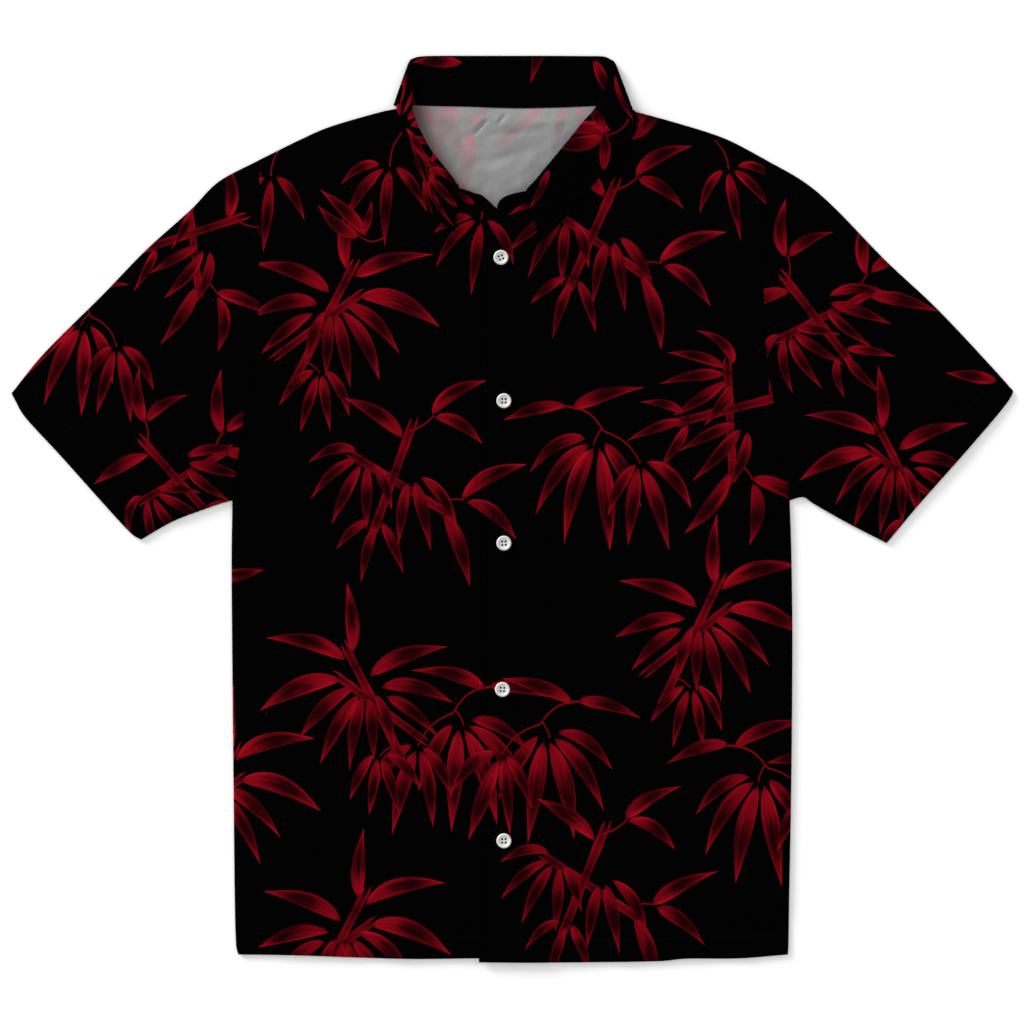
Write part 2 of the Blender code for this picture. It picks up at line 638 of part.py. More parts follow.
def make_sleeve(name, side, finish):
    """A tube pressed flat, from the armhole to the cuff, with a fold above and a seam below.

    Its columns start at the armhole's own rows, so that both edges of the seam have the same corners.
    """
    seam = Vector((-SEAM if side == "right" else SEAM, 0.0))
    armhole = [point + seam for point in smooth_line(height_points(ARMHOLE, side))[::-1]]
    cuff = smooth_line(side_points(CUFF, side))
    upper = [point + seam for point in smooth_line(side_points(SLEEVE_TOP, side))]
    under = [point + seam for point in smooth_line(side_points(SLEEVE_UNDER, side))]
    starts = sorted(share_at(armhole, y) for y in row_heights(UPPER_ROWS)[SIDE_ROWS + 1:-1])

    def plan(s, v):
        corners = ((1 - s) * (1 - v) * armhole[0] + (1 - s) * v * armhole[-1]
                   + s * (1 - v) * cuff[0] + s * v * cuff[-1])
        return (at_share(armhole, v) * (1 - s) + at_share(cuff, v) * s
                + at_share(upper, s) * (1 - v) + at_share(under, s) * v - corners)

    grid = []
    for i in range(SLEEVE_STATIONS + 1):
        s = i / SLEEVE_STATIONS
        upper_rim, under_rim = plan(s, 0.0), plan(s, 1.0)
        inset = FOLD_RADIUS / (under_rim - upper_rim).length
        places = [plan(s, v) for v in [inset] + starts + [1.0 - inset]]
        row = [Vector((*place, right_top(*place))) for place in places]
        row += round_fold(places[-1], under_rim, (45, 0, -45))
        row += [Vector((*place, back_under(*place))) for place in reversed(places)]
        row += round_fold(places[0], upper_rim, (-45, 0, 45))
        grid.append(row if side == "left" else row[::-1])
    return cloth(name, grid, finish, -1, ring=True)


def round_fold(start, rim, angles):
    """The points between the upper and the lower wall at a sleeve's fold, whose rim is in plan."""
    outward = (rim - start).normalized()
    points = []
    for degrees in angles:
        angle = math.radians(degrees)
        place = start + FOLD_RADIUS * math.cos(angle) * outward
        points.append(Vector((*place, FOLD_RADIUS * (1 + math.sin(angle)))))
    return points


# ---------------------------------------------------------------- buttons

def button_mesh(finish):
    """A turned disc with a raised rim and four thread holes."""
    outline = bpy.data.meshes.new("button profile")
    outline.from_pydata([(point.radius_share * BUTTON_RADIUS * MM, 0.0, point.height * MM)
                         for point in BUTTON_PROFILE], [],
                        [(i, i + 1) for i in range(len(BUTTON_PROFILE) - 1)])
    blank = bpy.data.objects.new("button blank", outline)
    GUIDES.objects.link(blank)
    turned = blank.modifiers.new("Turned", "SCREW")
    turned.steps = turned.render_steps = BUTTON_SIDES
    turned.use_merge_vertices = True
    turned.merge_threshold = 0.00001
    for corner in range(4):
        angle = math.radians(45 + 90 * corner)
        reach = 0.5 * BUTTON_HOLE_PITCH * math.sqrt(2) * MM
        bpy.ops.mesh.primitive_cylinder_add(vertices=6, radius=0.5 * BUTTON_HOLE * MM, depth=8 * MM,
                                            location=(reach * math.cos(angle), reach * math.sin(angle), 0))
        drill = bpy.context.active_object
        for held in list(drill.users_collection):
            held.objects.unlink(drill)
        GUIDES.objects.link(drill)
        hole = blank.modifiers.new("Thread hole", "BOOLEAN")
        hole.operation = "DIFFERENCE"
        hole.object = drill
    bpy.context.view_layer.update()
    made = bpy.data.meshes.new_from_object(blank.evaluated_get(bpy.context.evaluated_depsgraph_get()))
    made.name = "button"
    made.materials.clear()
    made.materials.append(finish)
    made.shade_smooth()
    made.set_sharp_from_angle(angle=math.radians(40))
    return made


def make_buttons(finish):
    mesh = button_mesh(finish)
    for row in BUTTONS:
        button = bpy.data.objects.new(row.name, mesh)
        SHIRT.objects.link(button)
        around = [left_top(row.x + BUTTON_RADIUS * math.cos(angle), row.y + BUTTON_RADIUS * math.sin(angle))
                  for angle in (0.0, 0.5 * math.pi, math.pi, 1.5 * math.pi)]
        button.location = Vector((row.x, row.y, max(around) + GAP)) * MM
        button.rotation_euler = (0.0, 0.0, math.radians(row.turn))


# ---------------------------------------------------------------- the shirt

for leftover in list(bpy.data.objects):
    bpy.data.objects.remove(leftover, do_unlink=True)

SHIRT = bpy.data.collections.new("hawaiian shirt")
GUIDES = bpy.data.collections.new("guides")
bpy.context.scene.collection.children.link(SHIRT)
bpy.context.scene.collection.children.link(GUIDES)

PRINTED = material("black printed cotton", (0.012, 0.008, 0.009), 0.8)
BUTTON_RESIN = material("white button resin", (0.82, 0.81, 0.79), 0.3)

make_back(PRINTED)
make_front("front_right", "right", right_top, PRINTED)
make_front("front_left", "left", left_top, PRINTED)
make_sleeve("sleeve_right", "right", PRINTED)
make_sleeve("sleeve_left", "left", PRINTED)
COLLAR = between(collar_stations())
make_collar_stand(COLLAR, PRINTED)
make_collar_fall(COLLAR, PRINTED)
make_buttons(BUTTON_RESIN)

for guide in GUIDES.objects:
    guide.hide_render = True
    guide.display_type = "WIRE"
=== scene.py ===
"""The finished look of the hawaiian shirt, laid flat with its front up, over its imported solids.

Tables, heights and lines are in millimetres in the solids' own frame: +Y runs from hem to collar, +X to
the wearer's left, +Z up from the surface the shirt lies on. "Right" and "left" are the wearer's.

Every panel of cloth is cut in plan along its own outline and along the printed leaves, so that the
print has sharp edges without any picture. It is then lifted to the solids' heights, with finer creases.
"""

from collections import namedtuple
import math

import bpy
from mathutils import Matrix, Vector, geometry
import numpy as np


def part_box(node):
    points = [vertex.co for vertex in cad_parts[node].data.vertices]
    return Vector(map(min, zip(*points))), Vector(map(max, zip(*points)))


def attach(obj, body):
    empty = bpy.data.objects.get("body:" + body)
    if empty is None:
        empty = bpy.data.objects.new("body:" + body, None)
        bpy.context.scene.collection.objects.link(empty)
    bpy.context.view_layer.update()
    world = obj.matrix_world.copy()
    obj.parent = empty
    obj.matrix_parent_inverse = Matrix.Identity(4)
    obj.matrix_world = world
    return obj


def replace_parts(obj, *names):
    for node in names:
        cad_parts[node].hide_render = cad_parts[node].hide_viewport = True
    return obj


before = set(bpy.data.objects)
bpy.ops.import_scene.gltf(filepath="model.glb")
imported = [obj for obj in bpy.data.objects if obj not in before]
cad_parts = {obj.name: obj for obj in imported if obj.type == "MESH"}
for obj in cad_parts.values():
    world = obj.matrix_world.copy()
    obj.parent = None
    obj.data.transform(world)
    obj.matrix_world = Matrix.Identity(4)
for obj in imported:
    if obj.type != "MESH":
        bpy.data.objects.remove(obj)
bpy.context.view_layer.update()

MM = 0.001

# Sizes that the solids have too
CLOTH = 1.2              # wall of a solid
GAP = 0.3                # clearance between two solids
LAYER = CLOTH + GAP
AIR = 1.6                # how far the upper layer stands off the lower one away from its folds
ROLL = 42.0              # over this distance from a side, shoulder or sleeve fold the air fades in
CREASE_END = 0.25        # share of a crease's height that is left at its ends
NECK_X = 1.0
NECK_SEAM_Y = 350.5
STRIP_HALF = 112.0       # half the width of the folded collar strip under the back's neck seam
STRIP_LOW = 330.0
STRIP_RAMP = 45.0
FRONT_EDGE_RIGHT = 13.7
FRONT_EDGE_LEFT = -29.1
CLOSING_FLAT = 6.0
CLOSING_RAMP = 26.0
LEAF_LIFT = 0.15
PLAN_STEP = 30.0         # longest step of the lines that the air is measured from
LINE_STEP = 4.0          # and of all others

# Sizes of the finished cloth
COLLAR_THICK = 1.0       # two layers and their interlining
CELL = 3.0               # spacing of the mesh inside a panel
BACK_CELL = 4.0
NECK_CELL = 1.5          # and where the inside of the back shows in the neck
NECK_PART = ((-92.0, 258.0), (80.0, 352.0))
COLLAR_CELL = 2.2
EDGE_ROWS = (0.35, 0.9, 1.7, 2.9)  # distances of the mesh lines that run along every outline
FOLD_ROUND = 2.2         # the cloth rolls over within this distance of a fold
CLOSING = 1.35           # height at which the upper and lower layers meet at a fold
HEM_WIDTH = 21.0         # turned-up hem of the body
CUFF_WIDTH = 25.0
HEM_STEP = 0.22          # the hem's three layers stand this much above the rest
HEM_SAG = 2.1            # and the open hem sinks this far towards the layer below
CUFF_SAG = 2.0
SAG_REACH = 48.0
LOWEST_TOP = 2.1         # the upper layer's face comes no nearer to the table than this
SEAM_DIP = 0.45          # both sides of a seam sink by this much
SEAM_REACH = 1.6
TUCK = 1.6               # how far a sleeve's edge and the neckline run on under their neighbour
BAND_DIP = 0.4           # the back's edge sinks this much under the neckband
STITCH_DENT = 0.16
DENT_REACH = 1.1
PUCKER = 0.11
EDGE_DROP = 0.3          # a cut or turned edge rounds down by this, within EDGE_ROUND of it
EDGE_ROUND = 0.9
UNDER_EDGE_RISE = 0.25
UNDER_HEM_STEP = 0.15
HEM_STITCH = 2.0         # a hem's stitches run this far from its inner edge
EDGE_STITCH = 5.0        # and the closing's this far from its free edge
LOWEST = 0.02            # nothing comes nearer to the table than this
BACK_CLEAR = 0.15        # and the back lies this much above it
STITCH_CLEAR = 0.04      # a stitch's middle stands this much off the cloth
LOWEST_STITCH = 0.12
COLLAR_STEP = 6.0        # longest step between two stations round the neck
THICK = 1.0              # three layers, at a hem
SINGLE = 0.45            # one layer's share of that
DOUBLE = 0.75
FACING = 30.0            # width of the doubled cloth along the closing's edge
HOLE_PITCH = 3.0         # between two neighbouring thread holes of a button
HOLE_WIDTH = 1.95
THREAD_FILL = 0.86       # radius of the thread in a hole
STITCH_IN_FALL = 5.0     # the collar's stitches run this far inside its free edge
STITCH_IN_STAND = 2.0
AT_FOLD = 0.02           # what lies this near to a fold is on it
RIM_ROUND = 0.6          # how far a cut edge's shading leans towards the faces beside it

# The outline seen from above. Each row gives one place on both sides of the shirt.
Place = namedtuple("Place", "name right_x right_y left_x left_y")
SHOULDER = [
    Place("neck point", -100.9, 350.0, 102.1, 348.4),
    Place("under the collar's edge", -115.8, 346.9, 116.1, 345.2),
    Place("inner shoulder", -159.5, 334.3, 164.2, 331.6),
    Place("outer shoulder", -185.8, 322.9, 190.5, 322.0),
    Place("shoulder tip", -221.1, 305.4, 220.2, 306.3),
]
SLEEVE_TOP = [
    Place("shoulder tip", -221.1, 305.4, 220.2, 306.3),
    Place("sleeve cap", -257.1, 286.1, 255.2, 286.1),
    Place("cap below", -281.4, 261.6, 281.5, 263.8),
    Place("upper arm", -319.9, 227.0, 325.9, 217.9),
    Place("mid arm", -358.4, 187.3, 370.7, 175.9),
    Place("near the cuff", -409.8, 135.9, 416.9, 126.9),
    Place("cuff, outer corner", -438.0, 101.2, 438.1, 103.3),
]
CUFF = [
    Place("outer corner", -438.0, 101.2, 438.1, 103.3),
    Place("turn of the hem", -435.0, 95.5, 436.0, 98.0),
    Place("outer third", -426.4, 80.7, 427.2, 85.8),
    Place("middle", -396.9, 48.6, 396.4, 49.9),
    Place("inner third", -355.5, 2.5, 355.3, 3.5),
    Place("near the inner corner", -332.8, -21.9, 332.5, -23.8),
    Place("inner corner", -324.5, -26.6, 327.4, -29.8),
]
SLEEVE_UNDER = [
    Place("underarm", -244.8, 7.6, 242.6, 7.6),
    Place("first fold", -256.0, 4.4, 254.5, 10.4),
    Place("second fold", -270.0, -0.5, 262.9, 5.0),
    Place("middle", -296.9, -10.9, 293.7, -12.5),
    Place("inner corner", -324.5, -26.6, 327.4, -29.8),
]


def level(name, y, right_x, left_x):
    """A place on both sides at one height."""
    return Place(name, right_x, y, left_x, y)


SIDE = [
    level("hem", -389.6, -239.6, 241.0),
    level("hem stitching", -381.0, -241.6, 241.5),
    level("low", -337.8, -242.8, 242.2),
    level("hip", -253.8, -243.7, 243.8),
    level("waist", -124.3, -245.0, 245.0),
    level("ribs", -44.6, -245.5, 244.2),
    level("underarm", 7.6, -244.8, 242.6),
]
ARMHOLE = [
    level("underarm", 7.6, -244.8, 242.6),
    level("low curve", 35.0, -241.0, 239.6),
    level("curve", 80.0, -234.4, 230.9),
    level("upper curve", 121.6, -227.2, 223.7),
    level("straight", 165.4, -222.2, 220.2),
    level("deepest", 226.6, -221.0, 220.2),
    level("near the tip", 270.4, -221.0, 221.6),
    level("shoulder tip", 305.9, -221.1, 220.2),
]

# The hem of each panel, and the upper corner of each front from its free edge to the neckband's end
Point = namedtuple("Point", "x y")
HEM_RIGHT = [Point(-239.6, -389.6), Point(-191.0, -390.3), Point(-93.9, -393.4), Point(-30.1, -392.9),
             Point(13.7, -392.6)]
HEM_LEFT = [Point(-29.1, -396.3), Point(29.1, -396.6), Point(126.3, -395.5), Point(152.0, -393.2),
            Point(197.5, -393.0), Point(241.0, -389.6)]
HEM_BACK = [Point(-239.6, -389.6), Point(-93.9, -391.6), Point(29.1, -392.6), Point(152.0, -391.4),
            Point(241.0, -389.6)]
CORNER_RIGHT = [Point(13.7, 239.5), Point(10.5, 246.0), Point(2.0, 249.6)]
CORNER_LEFT = [Point(-29.1, 250.5), Point(-26.0, 256.0), Point(-18.0, 259.6)]

# The collar, from the right end of the neckband round the neck to its left end. fold is the upper
# edge that shows, seam is the neck seam, edge is the free edge of the turned-down part, and rise is
# how far the fold stands above the front at the seam. The neckband's ends carry no turned-down part.
Turn = namedtuple("Turn", "name fold_x fold_y seam_x seam_y edge_x edge_y rise")
BAND_RIGHT = [
    Turn("right end", -6.4, 259.4, -5.5, 251.6, 0, 0, 0.0),
    Turn("rounded end", -14.3, 263.4, -13.4, 253.8, 0, 0, 0.0),
    Turn("end of the curve", -20.4, 269.1, -21.3, 257.7, 0, 0, 0.6),
    Turn("bend", -26.9, 274.3, -29.1, 262.1, 0, 0, 1.5),
    Turn("by the leaf", -32.6, 275.6, -36.1, 265.6, 0, 0, 2.4),
    Turn("beside the leaf", -39.2, 278.0, -45.8, 270.4, 0, 0, 3.2),
]
LEAF_RIGHT = [
    Turn("leaf's front edge", -46.5, 281.8, -54.9, 276.5, -50.1, 242.4, 4.0),
    Turn("point's back", -53.6, 291.8, -61.9, 285.7, -63.3, 252.0, 4.8),
    Turn("leaf", -62.4, 302.5, -71.1, 296.6, -74.6, 265.1, 5.4),
    Turn("leaf", -70.8, 313.2, -79.4, 308.4, -80.8, 280.9, 5.4),
    Turn("leaf", -77.3, 324.6, -86.0, 320.2, -84.7, 302.8, 4.9),
    Turn("leaf", -82.9, 336.0, -91.7, 332.9, -89.9, 324.6, 4.1),
    Turn("top of the V", -87.3, 350.9, -96.5, 345.6, -96.1, 339.5, 3.0),
    Turn("neck side", -86.6, 369.0, -98.2, 349.4, -100.4, 346.9, 2.0),
]
SIDE_RIGHT = Turn("right side", -90.4, 392.0, -98.6, 352.6, -104.2, 353.1, 1.5)
COLLAR_BACK = [
    Turn("right corner", -80.8, 395.8, -89.5, 352.8, -95.6, 346.5, 0.0),
    Turn("back", -63.3, 396.4, -70.3, 352.4, -72.0, 344.8, 0.0),
    Turn("back", -32.6, 396.4, -37.0, 351.5, -37.0, 343.9, 0.0),
    Turn("centre back", -1.1, 396.4, -1.1, 350.4, -1.1, 343.4, 0.0),
    Turn("back", 33.0, 396.4, 34.7, 350.6, 34.7, 343.9, 0.0),
    Turn("back", 63.6, 396.2, 61.9, 351.8, 68.0, 344.8, 0.0),
    Turn("left corner", 80.2, 395.8, 80.2, 352.4, 89.9, 345.6, 0.0),
]
SIDE_LEFT = Turn("left side", 89.9, 391.1, 98.6, 351.3, 105.4, 350.3, 1.5)
LEAF_LEFT = [
    Turn("neck side", 82.0, 371.9, 95.1, 348.2, 108.2, 345.6, 2.0),
    Turn("top of the V", 75.9, 356.1, 88.1, 344.8, 109.6, 338.6, 3.0),
    Turn("leaf", 68.9, 346.1, 79.4, 339.1, 108.2, 329.0, 4.0),
    Turn("leaf", 61.0, 337.2, 70.6, 329.9, 99.5, 317.6, 4.8),
    Turn("leaf", 51.8, 325.5, 61.0, 318.1, 87.2, 302.8, 5.4),
    Turn("leaf", 41.7, 313.2, 50.5, 305.8, 73.2, 286.1, 5.8),
    Turn("leaf", 31.2, 300.6, 40.0, 292.7, 55.7, 265.1, 5.6),
    Turn("point's back", 20.2, 287.3, 28.6, 279.1, 39.1, 246.3, 5.0),
    Turn("leaf's front edge", 12.0, 279.1, 18.6, 270.8, 24.2, 231.0, 4.2),
]
BAND_LEFT = [
    Turn("beside the leaf", 2.4, 275.6, 7.6, 265.4, 0, 0, 3.2),
    Turn("bend", -5.5, 273.0, -2.0, 262.7, 0, 0, 2.6),
    Turn("rounded end", -10.3, 269.9, -8.6, 261.6, 0, 0, 2.0),
    Turn("left end", -13.8, 265.2, -12.5, 260.9, 0, 0, 1.4),
]

# Soft creases in the upper layer. A ridge is positive, a trough negative.
Crease = namedtuple("Crease", "name x0 y0 x1 y1 width height")
CREASES = [
    Crease("right armpit to chest", -214, 22, -112, 92, 11, 1.5),
    Crease("below the right armpit", -224, -12, -138, 22, 10, 1.1),
    Crease("right armhole, inside", -205, 120, -188, 250, 11, 0.9),
    Crease("right chest", -150, 265, -120, 130, 15, -0.9),
    Crease("right ribs", -205, -70, -95, -40, 14, -0.8),
    Crease("right waist", -215, -190, -120, -150, 13, 1.0),
    Crease("right hip", -190, -250, -165, -375, 13, 1.2),
    Crease("right hem", -92, -250, -100, -385, 12, 0.9),
    Crease("left armpit to chest", 212, 20, 120, 82, 11, 1.4),
    Crease("below the left armpit", 220, -16, 150, 6, 10, 1.0),
    Crease("left armhole, inside", 204, 105, 186, 235, 11, 1.0),
    Crease("left chest", 145, 270, 118, 150, 15, -0.9),
    Crease("left ribs", 208, -96, 110, -60, 14, -0.8),
    Crease("left waist", 214, -170, 135, -215, 13, 1.1),
    Crease("left hip", 176, -262, 188, -375, 13, 1.0),
    Crease("left hem", 88, -265, 104, -388, 12, 1.1),
    Crease("right sleeve, from the armpit", -252, 46, -330, 66, 11, 1.5),
    Crease("right sleeve, along the arm", -248, 200, -352, 92, 14, 1.0),
    Crease("right sleeve, cap", -240, 262, -285, 205, 13, -0.8),
    Crease("left sleeve, from the armpit", 250, 40, 334, 52, 11, 1.4),
    Crease("left sleeve, along the arm", 246, 190, 358, 100, 14, 1.1),
    Crease("left sleeve, cap", 242, 268, 292, 210, 13, -0.8),
]

Button = namedtuple("Button", "name x y turn")
BUTTONS = [
    Button("button_1", -9.9, 219.6, 20),
    Button("button_2", -7.3, 94.5, 0),
    Button("button_3", -7.3, -29.8, 4),
    Button("button_4", -8.6, -157.5, -3),
    Button("button_5", -7.3, -289.6, 2),
]

# Finer creases of the finished cloth, over those of the solids
FINE_CREASES = [
    Crease("right chest, under the collar", -128, 316, -60, 212, 6, 0.35),
    Crease("right chest, short", -96, 226, -74, 152, 5, 0.3),
    Crease("right chest, slanting", -196, 262, -148, 184, 6, -0.35),
    Crease("right armpit, second", -228, 6, -160, 44, 5, 0.5),
    Crease("right armpit, third", -232, -34, -176, -20, 5, 0.4),
    Crease("right ribs, long", -182, -84, -58, -126, 8, 0.35),
    Crease("right ribs, short", -152, 4, -104, -22, 6, -0.3),
    Crease("right front, long", -62, 60, -88, -92, 9, 0.3),
    Crease("right waist, short", -228, -118, -172, -104, 6, 0.35),
    Crease("right hip, slanting", -150, -196, -74, -258, 7, 0.35),
    Crease("right hip, short", -218, -296, -186, -330, 6, -0.35),
    Crease("right hem, first", -144, -318, -150, -390, 7, 0.35),
    Crease("right hem, second", -52, -330, -48, -392, 6, 0.3),
    Crease("left chest, under the collar", 132, 316, 66, 230, 6, 0.35),
    Crease("left chest, short", 98, 210, 76, 136, 5, -0.3),
    Crease("left armhole, slanting", 198, 252, 152, 178, 6, 0.35),
    Crease("left armpit, second", 226, 2, 166, 34, 5, 0.5),
    Crease("left armpit, third", 230, -40, 172, -30, 5, 0.4),
    Crease("left ribs, long", 186, -64, 72, -138, 8, -0.3),
    Crease("left front, long", 74, 70, 96, -70, 9, 0.3),
    Crease("left waist, short", 226, -132, 160, -112, 6, 0.35),
    Crease("left hip, slanting", 158, -206, 62, -262, 7, 0.35),
    Crease("left hip, short", 222, -306, 196, -352, 6, 0.3),
    Crease("left hem, first", 150, -322, 142, -391, 7, -0.3),
    Crease("left hem, second", 52, -328, 58, -393, 6, 0.3),
    Crease("right sleeve, mid", -262, 118, -372, 132, 8, 0.4),
    Crease("right sleeve, low", -270, 18, -340, 10, 5, 0.4),
    Crease("right sleeve, cuff", -382, 118, -404, 82, 7, -0.3),
    Crease("left sleeve, mid", 260, 124, 366, 140, 8, 0.4),
    Crease("left sleeve, low", 262, 22, 338, 6, 5, 0.4),
    Crease("left sleeve, cuff", 376, 122, 402, 78, 7, -0.3),
]
# Creases that show inside the neck, where the back stands clear of the surface
NECK_CREASES = [
    Crease("short, on the right", -35, 325, -21, 338, 1.4, -1.3),
    Crease("its upper edge", -37, 329, -24, 341, 2.2, 0.4),
    Crease("short, in the middle", -12, 335, -2, 346, 1.3, -1.2),
    Crease("its lower edge", -9, 332, 3, 342, 2.2, 0.35),
    Crease("beside it", -20, 342, 8, 330, 3.5, 0.5),
    Crease("down the right", -76, 340, -44, 300, 5.0, 1.0),
    Crease("beside that", -64, 344, -38, 312, 3.2, -0.9),
    Crease("across, high", -26, 324, 30, 334, 3.0, -0.55),
    Crease("above it", 6, 338, 52, 341, 3.2, 0.45),
    Crease("across, low", -36, 298, 22, 320, 4.6, -0.8),
    Crease("below it", -30, 291, 34, 306, 6.5, 0.4),
    Crease("slanting to the point", -34, 292, 2, 274, 5.0, -0.45),
    Crease("down the left", 40, 342, 34, 314, 4.5, 0.5),
]

# The underside of the back is pressed flat, and has only shallow ones.
BACK_CREASES = [
    Crease("right shoulder blade", -150, 250, -70, 150, 14, 0.5),
    Crease("left shoulder blade", 146, 240, 84, 120, 14, 0.5),
    Crease("middle", -20, 60, 14, -120, 16, 0.45),
    Crease("right waist", -190, -90, -70, -140, 13, 0.5),
    Crease("left waist", 196, -110, 60, -170, 13, 0.5),
    Crease("right hem", -120, -240, -140, -370, 14, 0.45),
    Crease("left hem", 110, -250, 126, -372, 14, 0.45),
]


# ---------------------------------------------------------------- lines in plan

def smooth_step(share):
    share = np.clip(share, 0.0, 1.0)
    return share * share * (3.0 - 2.0 * share)


def unit(vector):
    return vector / np.maximum(np.linalg.norm(vector, axis=-1, keepdims=True), 1e-9)


def smooth_line(points, step=LINE_STEP):
    """A smooth line through points of any dimension, as points about step apart."""
    points = np.array(points, dtype=float)
    lengths = np.maximum(np.linalg.norm(np.diff(points, axis=0), axis=1), 1e-6)
    knots = np.concatenate([[0.0], np.cumsum(np.sqrt(lengths))])
    before = np.maximum(np.arange(len(points)) - 1, 0)
    after = np.minimum(np.arange(len(points)) + 1, len(points) - 1)
    slopes = (points[after] - points[before]) / (knots[after] - knots[before])[:, None]
    line = [points[:1]]
    for i, length in enumerate(lengths):
        span = knots[i + 1] - knots[i]
        t = np.linspace(0.0, 1.0, max(1, math.ceil(length / step)) + 1)[1:, None]
        line.append((2 * t**3 - 3 * t**2 + 1) * points[i] + (t**3 - 2 * t**2 + t) * span * slopes[i]
                    + (3 * t**2 - 2 * t**3) * points[i + 1] + (t**3 - t**2) * span * slopes[i + 1])
    return np.concatenate(line)


def walked(line):
    """The length along a line at each of its points."""
    return np.concatenate([[0.0], np.cumsum(np.linalg.norm(np.diff(line, axis=0), axis=1))])


def near(points, line):
    """Each point's distance to a line, the length along it of the nearest place, and the line's side."""
    lengths = walked(line)
    best = np.full(len(points), 1e9)
    along = np.zeros(len(points))
    side = np.ones(len(points))
    for start, end, before in zip(line[:-1], line[1:], lengths):
        run = end - start
        length = max(np.linalg.norm(run), 1e-9)
        offset = points - start
        share = np.clip(offset @ run / length**2, 0.0, 1.0)
        distance = np.hypot(offset[:, 0] - share * run[0], offset[:, 1] - share * run[1])
        closer = distance < best
        best = np.where(closer, distance, best)
        along = np.where(closer, before + share * length, along)
        cross = run[0] * offset[:, 1] - run[1] * offset[:, 0]
        side = np.where(closer, np.sign(cross), side)
    return best, along, side


def moved(line, distance, closed=False):
    """A line moved to its own left."""
    if closed:
        before, after = np.roll(line, 1, axis=0), np.roll(line, -1, axis=0)
    else:
        before = np.concatenate([2 * line[:1] - line[1:2], line[:-1]])
        after = np.concatenate([line[1:], 2 * line[-1:] - line[-2:-1]])
    came, goes = unit(line - before), unit(after - line)
    normal = unit(np.stack([-(came + goes)[:, 1], (came + goes)[:, 0]], axis=1))
    square = np.stack([-goes[:, 1], goes[:, 0]], axis=1)
    stretch = 1.0 / np.maximum((normal * square).sum(axis=1), 0.6)
    return line + distance * normal * stretch[:, None]


def counter_clockwise(outline):
    following = np.roll(outline, -1, axis=0)
    area = (outline[:, 0] * following[:, 1] - outline[:, 1] * following[:, 0]).sum()
    return outline if area > 0 else outline[::-1]


def side_line(rows, side, step=LINE_STEP):
    """The smooth line through one side's places of a table."""
    return smooth_line([(getattr(row, side + "_x"), getattr(row, side + "_y")) for row in rows], step)


# ---------------------------------------------------------------- heights

FOLD_LINES = [side_line(rows, side, PLAN_STEP) for side in ("right", "left")
              for rows in (SIDE, SHOULDER, SLEEVE_TOP, SLEEVE_UNDER)]


def fold_share(points):
    """0 on a side, shoulder or sleeve fold, 1 where the layers are free of each other."""
    nearest = np.full(len(points), ROLL)
    for line in FOLD_LINES:
        nearest = np.minimum(nearest, near(points, line)[0])
    return nearest / ROLL


def crease_height(points, creases, wander=0.0):
    """The height that a table of creases adds. wander bends them to and fro by that many millimetres."""
    x, y = points[:, 0], points[:, 1]
    bent = points + wander * np.stack([np.sin(y / 17.0 + x / 41.0), np.sin(x / 19.0 - y / 53.0)], axis=1)
    total = np.zeros(len(points))
    for crease in creases:
        start = np.array([crease.x0, crease.y0])
        run = np.array([crease.x1, crease.y1]) - start
        share = np.clip((bent - start) @ run / (run @ run), 0.0, 1.0)
        distance = np.linalg.norm(bent - start - share[:, None] * run, axis=1)
        strength = CREASE_END + (1.0 - CREASE_END) * smooth_step(1.0 - (2.0 * share - 1.0) ** 2)
        total += crease.height * strength * np.exp(-(distance / crease.width) ** 2)
    return total


def ripples(points, seed, longest=95.0, shortest=26.0, height=0.1, count=9):
    """Faint waves of many directions, the same each run."""
    chance = np.random.default_rng(seed)
    total = np.zeros(len(points))
    for i in range(count):
        length = longest * (shortest / longest) ** (i / (count - 1))
        angle = chance.uniform(0.0, math.pi)
        phase = chance.uniform(0.0, 2.0 * math.pi)
        across = points[:, 0] * math.cos(angle) + points[:, 1] * math.sin(angle)
        total += height * (length / longest) ** 0.5 * np.sin(2.0 * math.pi * across / length + phase)
    return total


def back_under(points):
    """Underside of the back, lifted by the collar strip under the neck."""
    beside = np.maximum(np.abs(points[:, 0] - NECK_X) - STRIP_HALF, 0.0)
    below = np.maximum(STRIP_LOW - points[:, 1], 0.0)
    return LAYER * smooth_step(1.0 - np.hypot(beside, below) / STRIP_RAMP)


def right_top(points):
    """Upper face of the right front's and the sleeves' solids."""
    share = fold_share(points)
    lift = AIR * (1.0 - (1.0 - share) ** 2) + share * crease_height(points, CREASES)
    return back_under(points) + LAYER + lift + CLOTH


def closing_lift(points):
    """The left front's step over the right front's edge."""
    return LAYER * smooth_step(1.0 - (points[:, 0] - FRONT_EDGE_RIGHT - CLOSING_FLAT) / CLOSING_RAMP)


def left_top(points):
    return right_top(points) + closing_lift(points)


def cloth_detail(points):
    """The finer creases and ripples of the finished upper layer."""
    share = fold_share(points)
    return share * (crease_height(points, FINE_CREASES, 3.0) + ripples(points, 11))


# ---------------------------------------------------------------- borders of a panel

Border = namedtuple("Border", "kind line")
HEMS = {"hem": (HEM_WIDTH, HEM_SAG), "cuff": (CUFF_WIDTH, CUFF_SAG)}


def bell(distance, reach):
    return np.exp(-(distance / reach) ** 2)


def rounded(distance, reach):
    """0 at an edge, rising as a quarter circle to 1 at reach from it."""
    return np.sqrt(1.0 - (1.0 - np.clip(distance / reach, 0.0, 1.0)) ** 2)


def wobble(along, wave=8.5, drift=31.0):
    """Unevenly spaced puckers along a row of stitches, from -1 to 1."""
    return np.sin(2.0 * math.pi * along / wave + 1.7 * np.sin(along / drift))


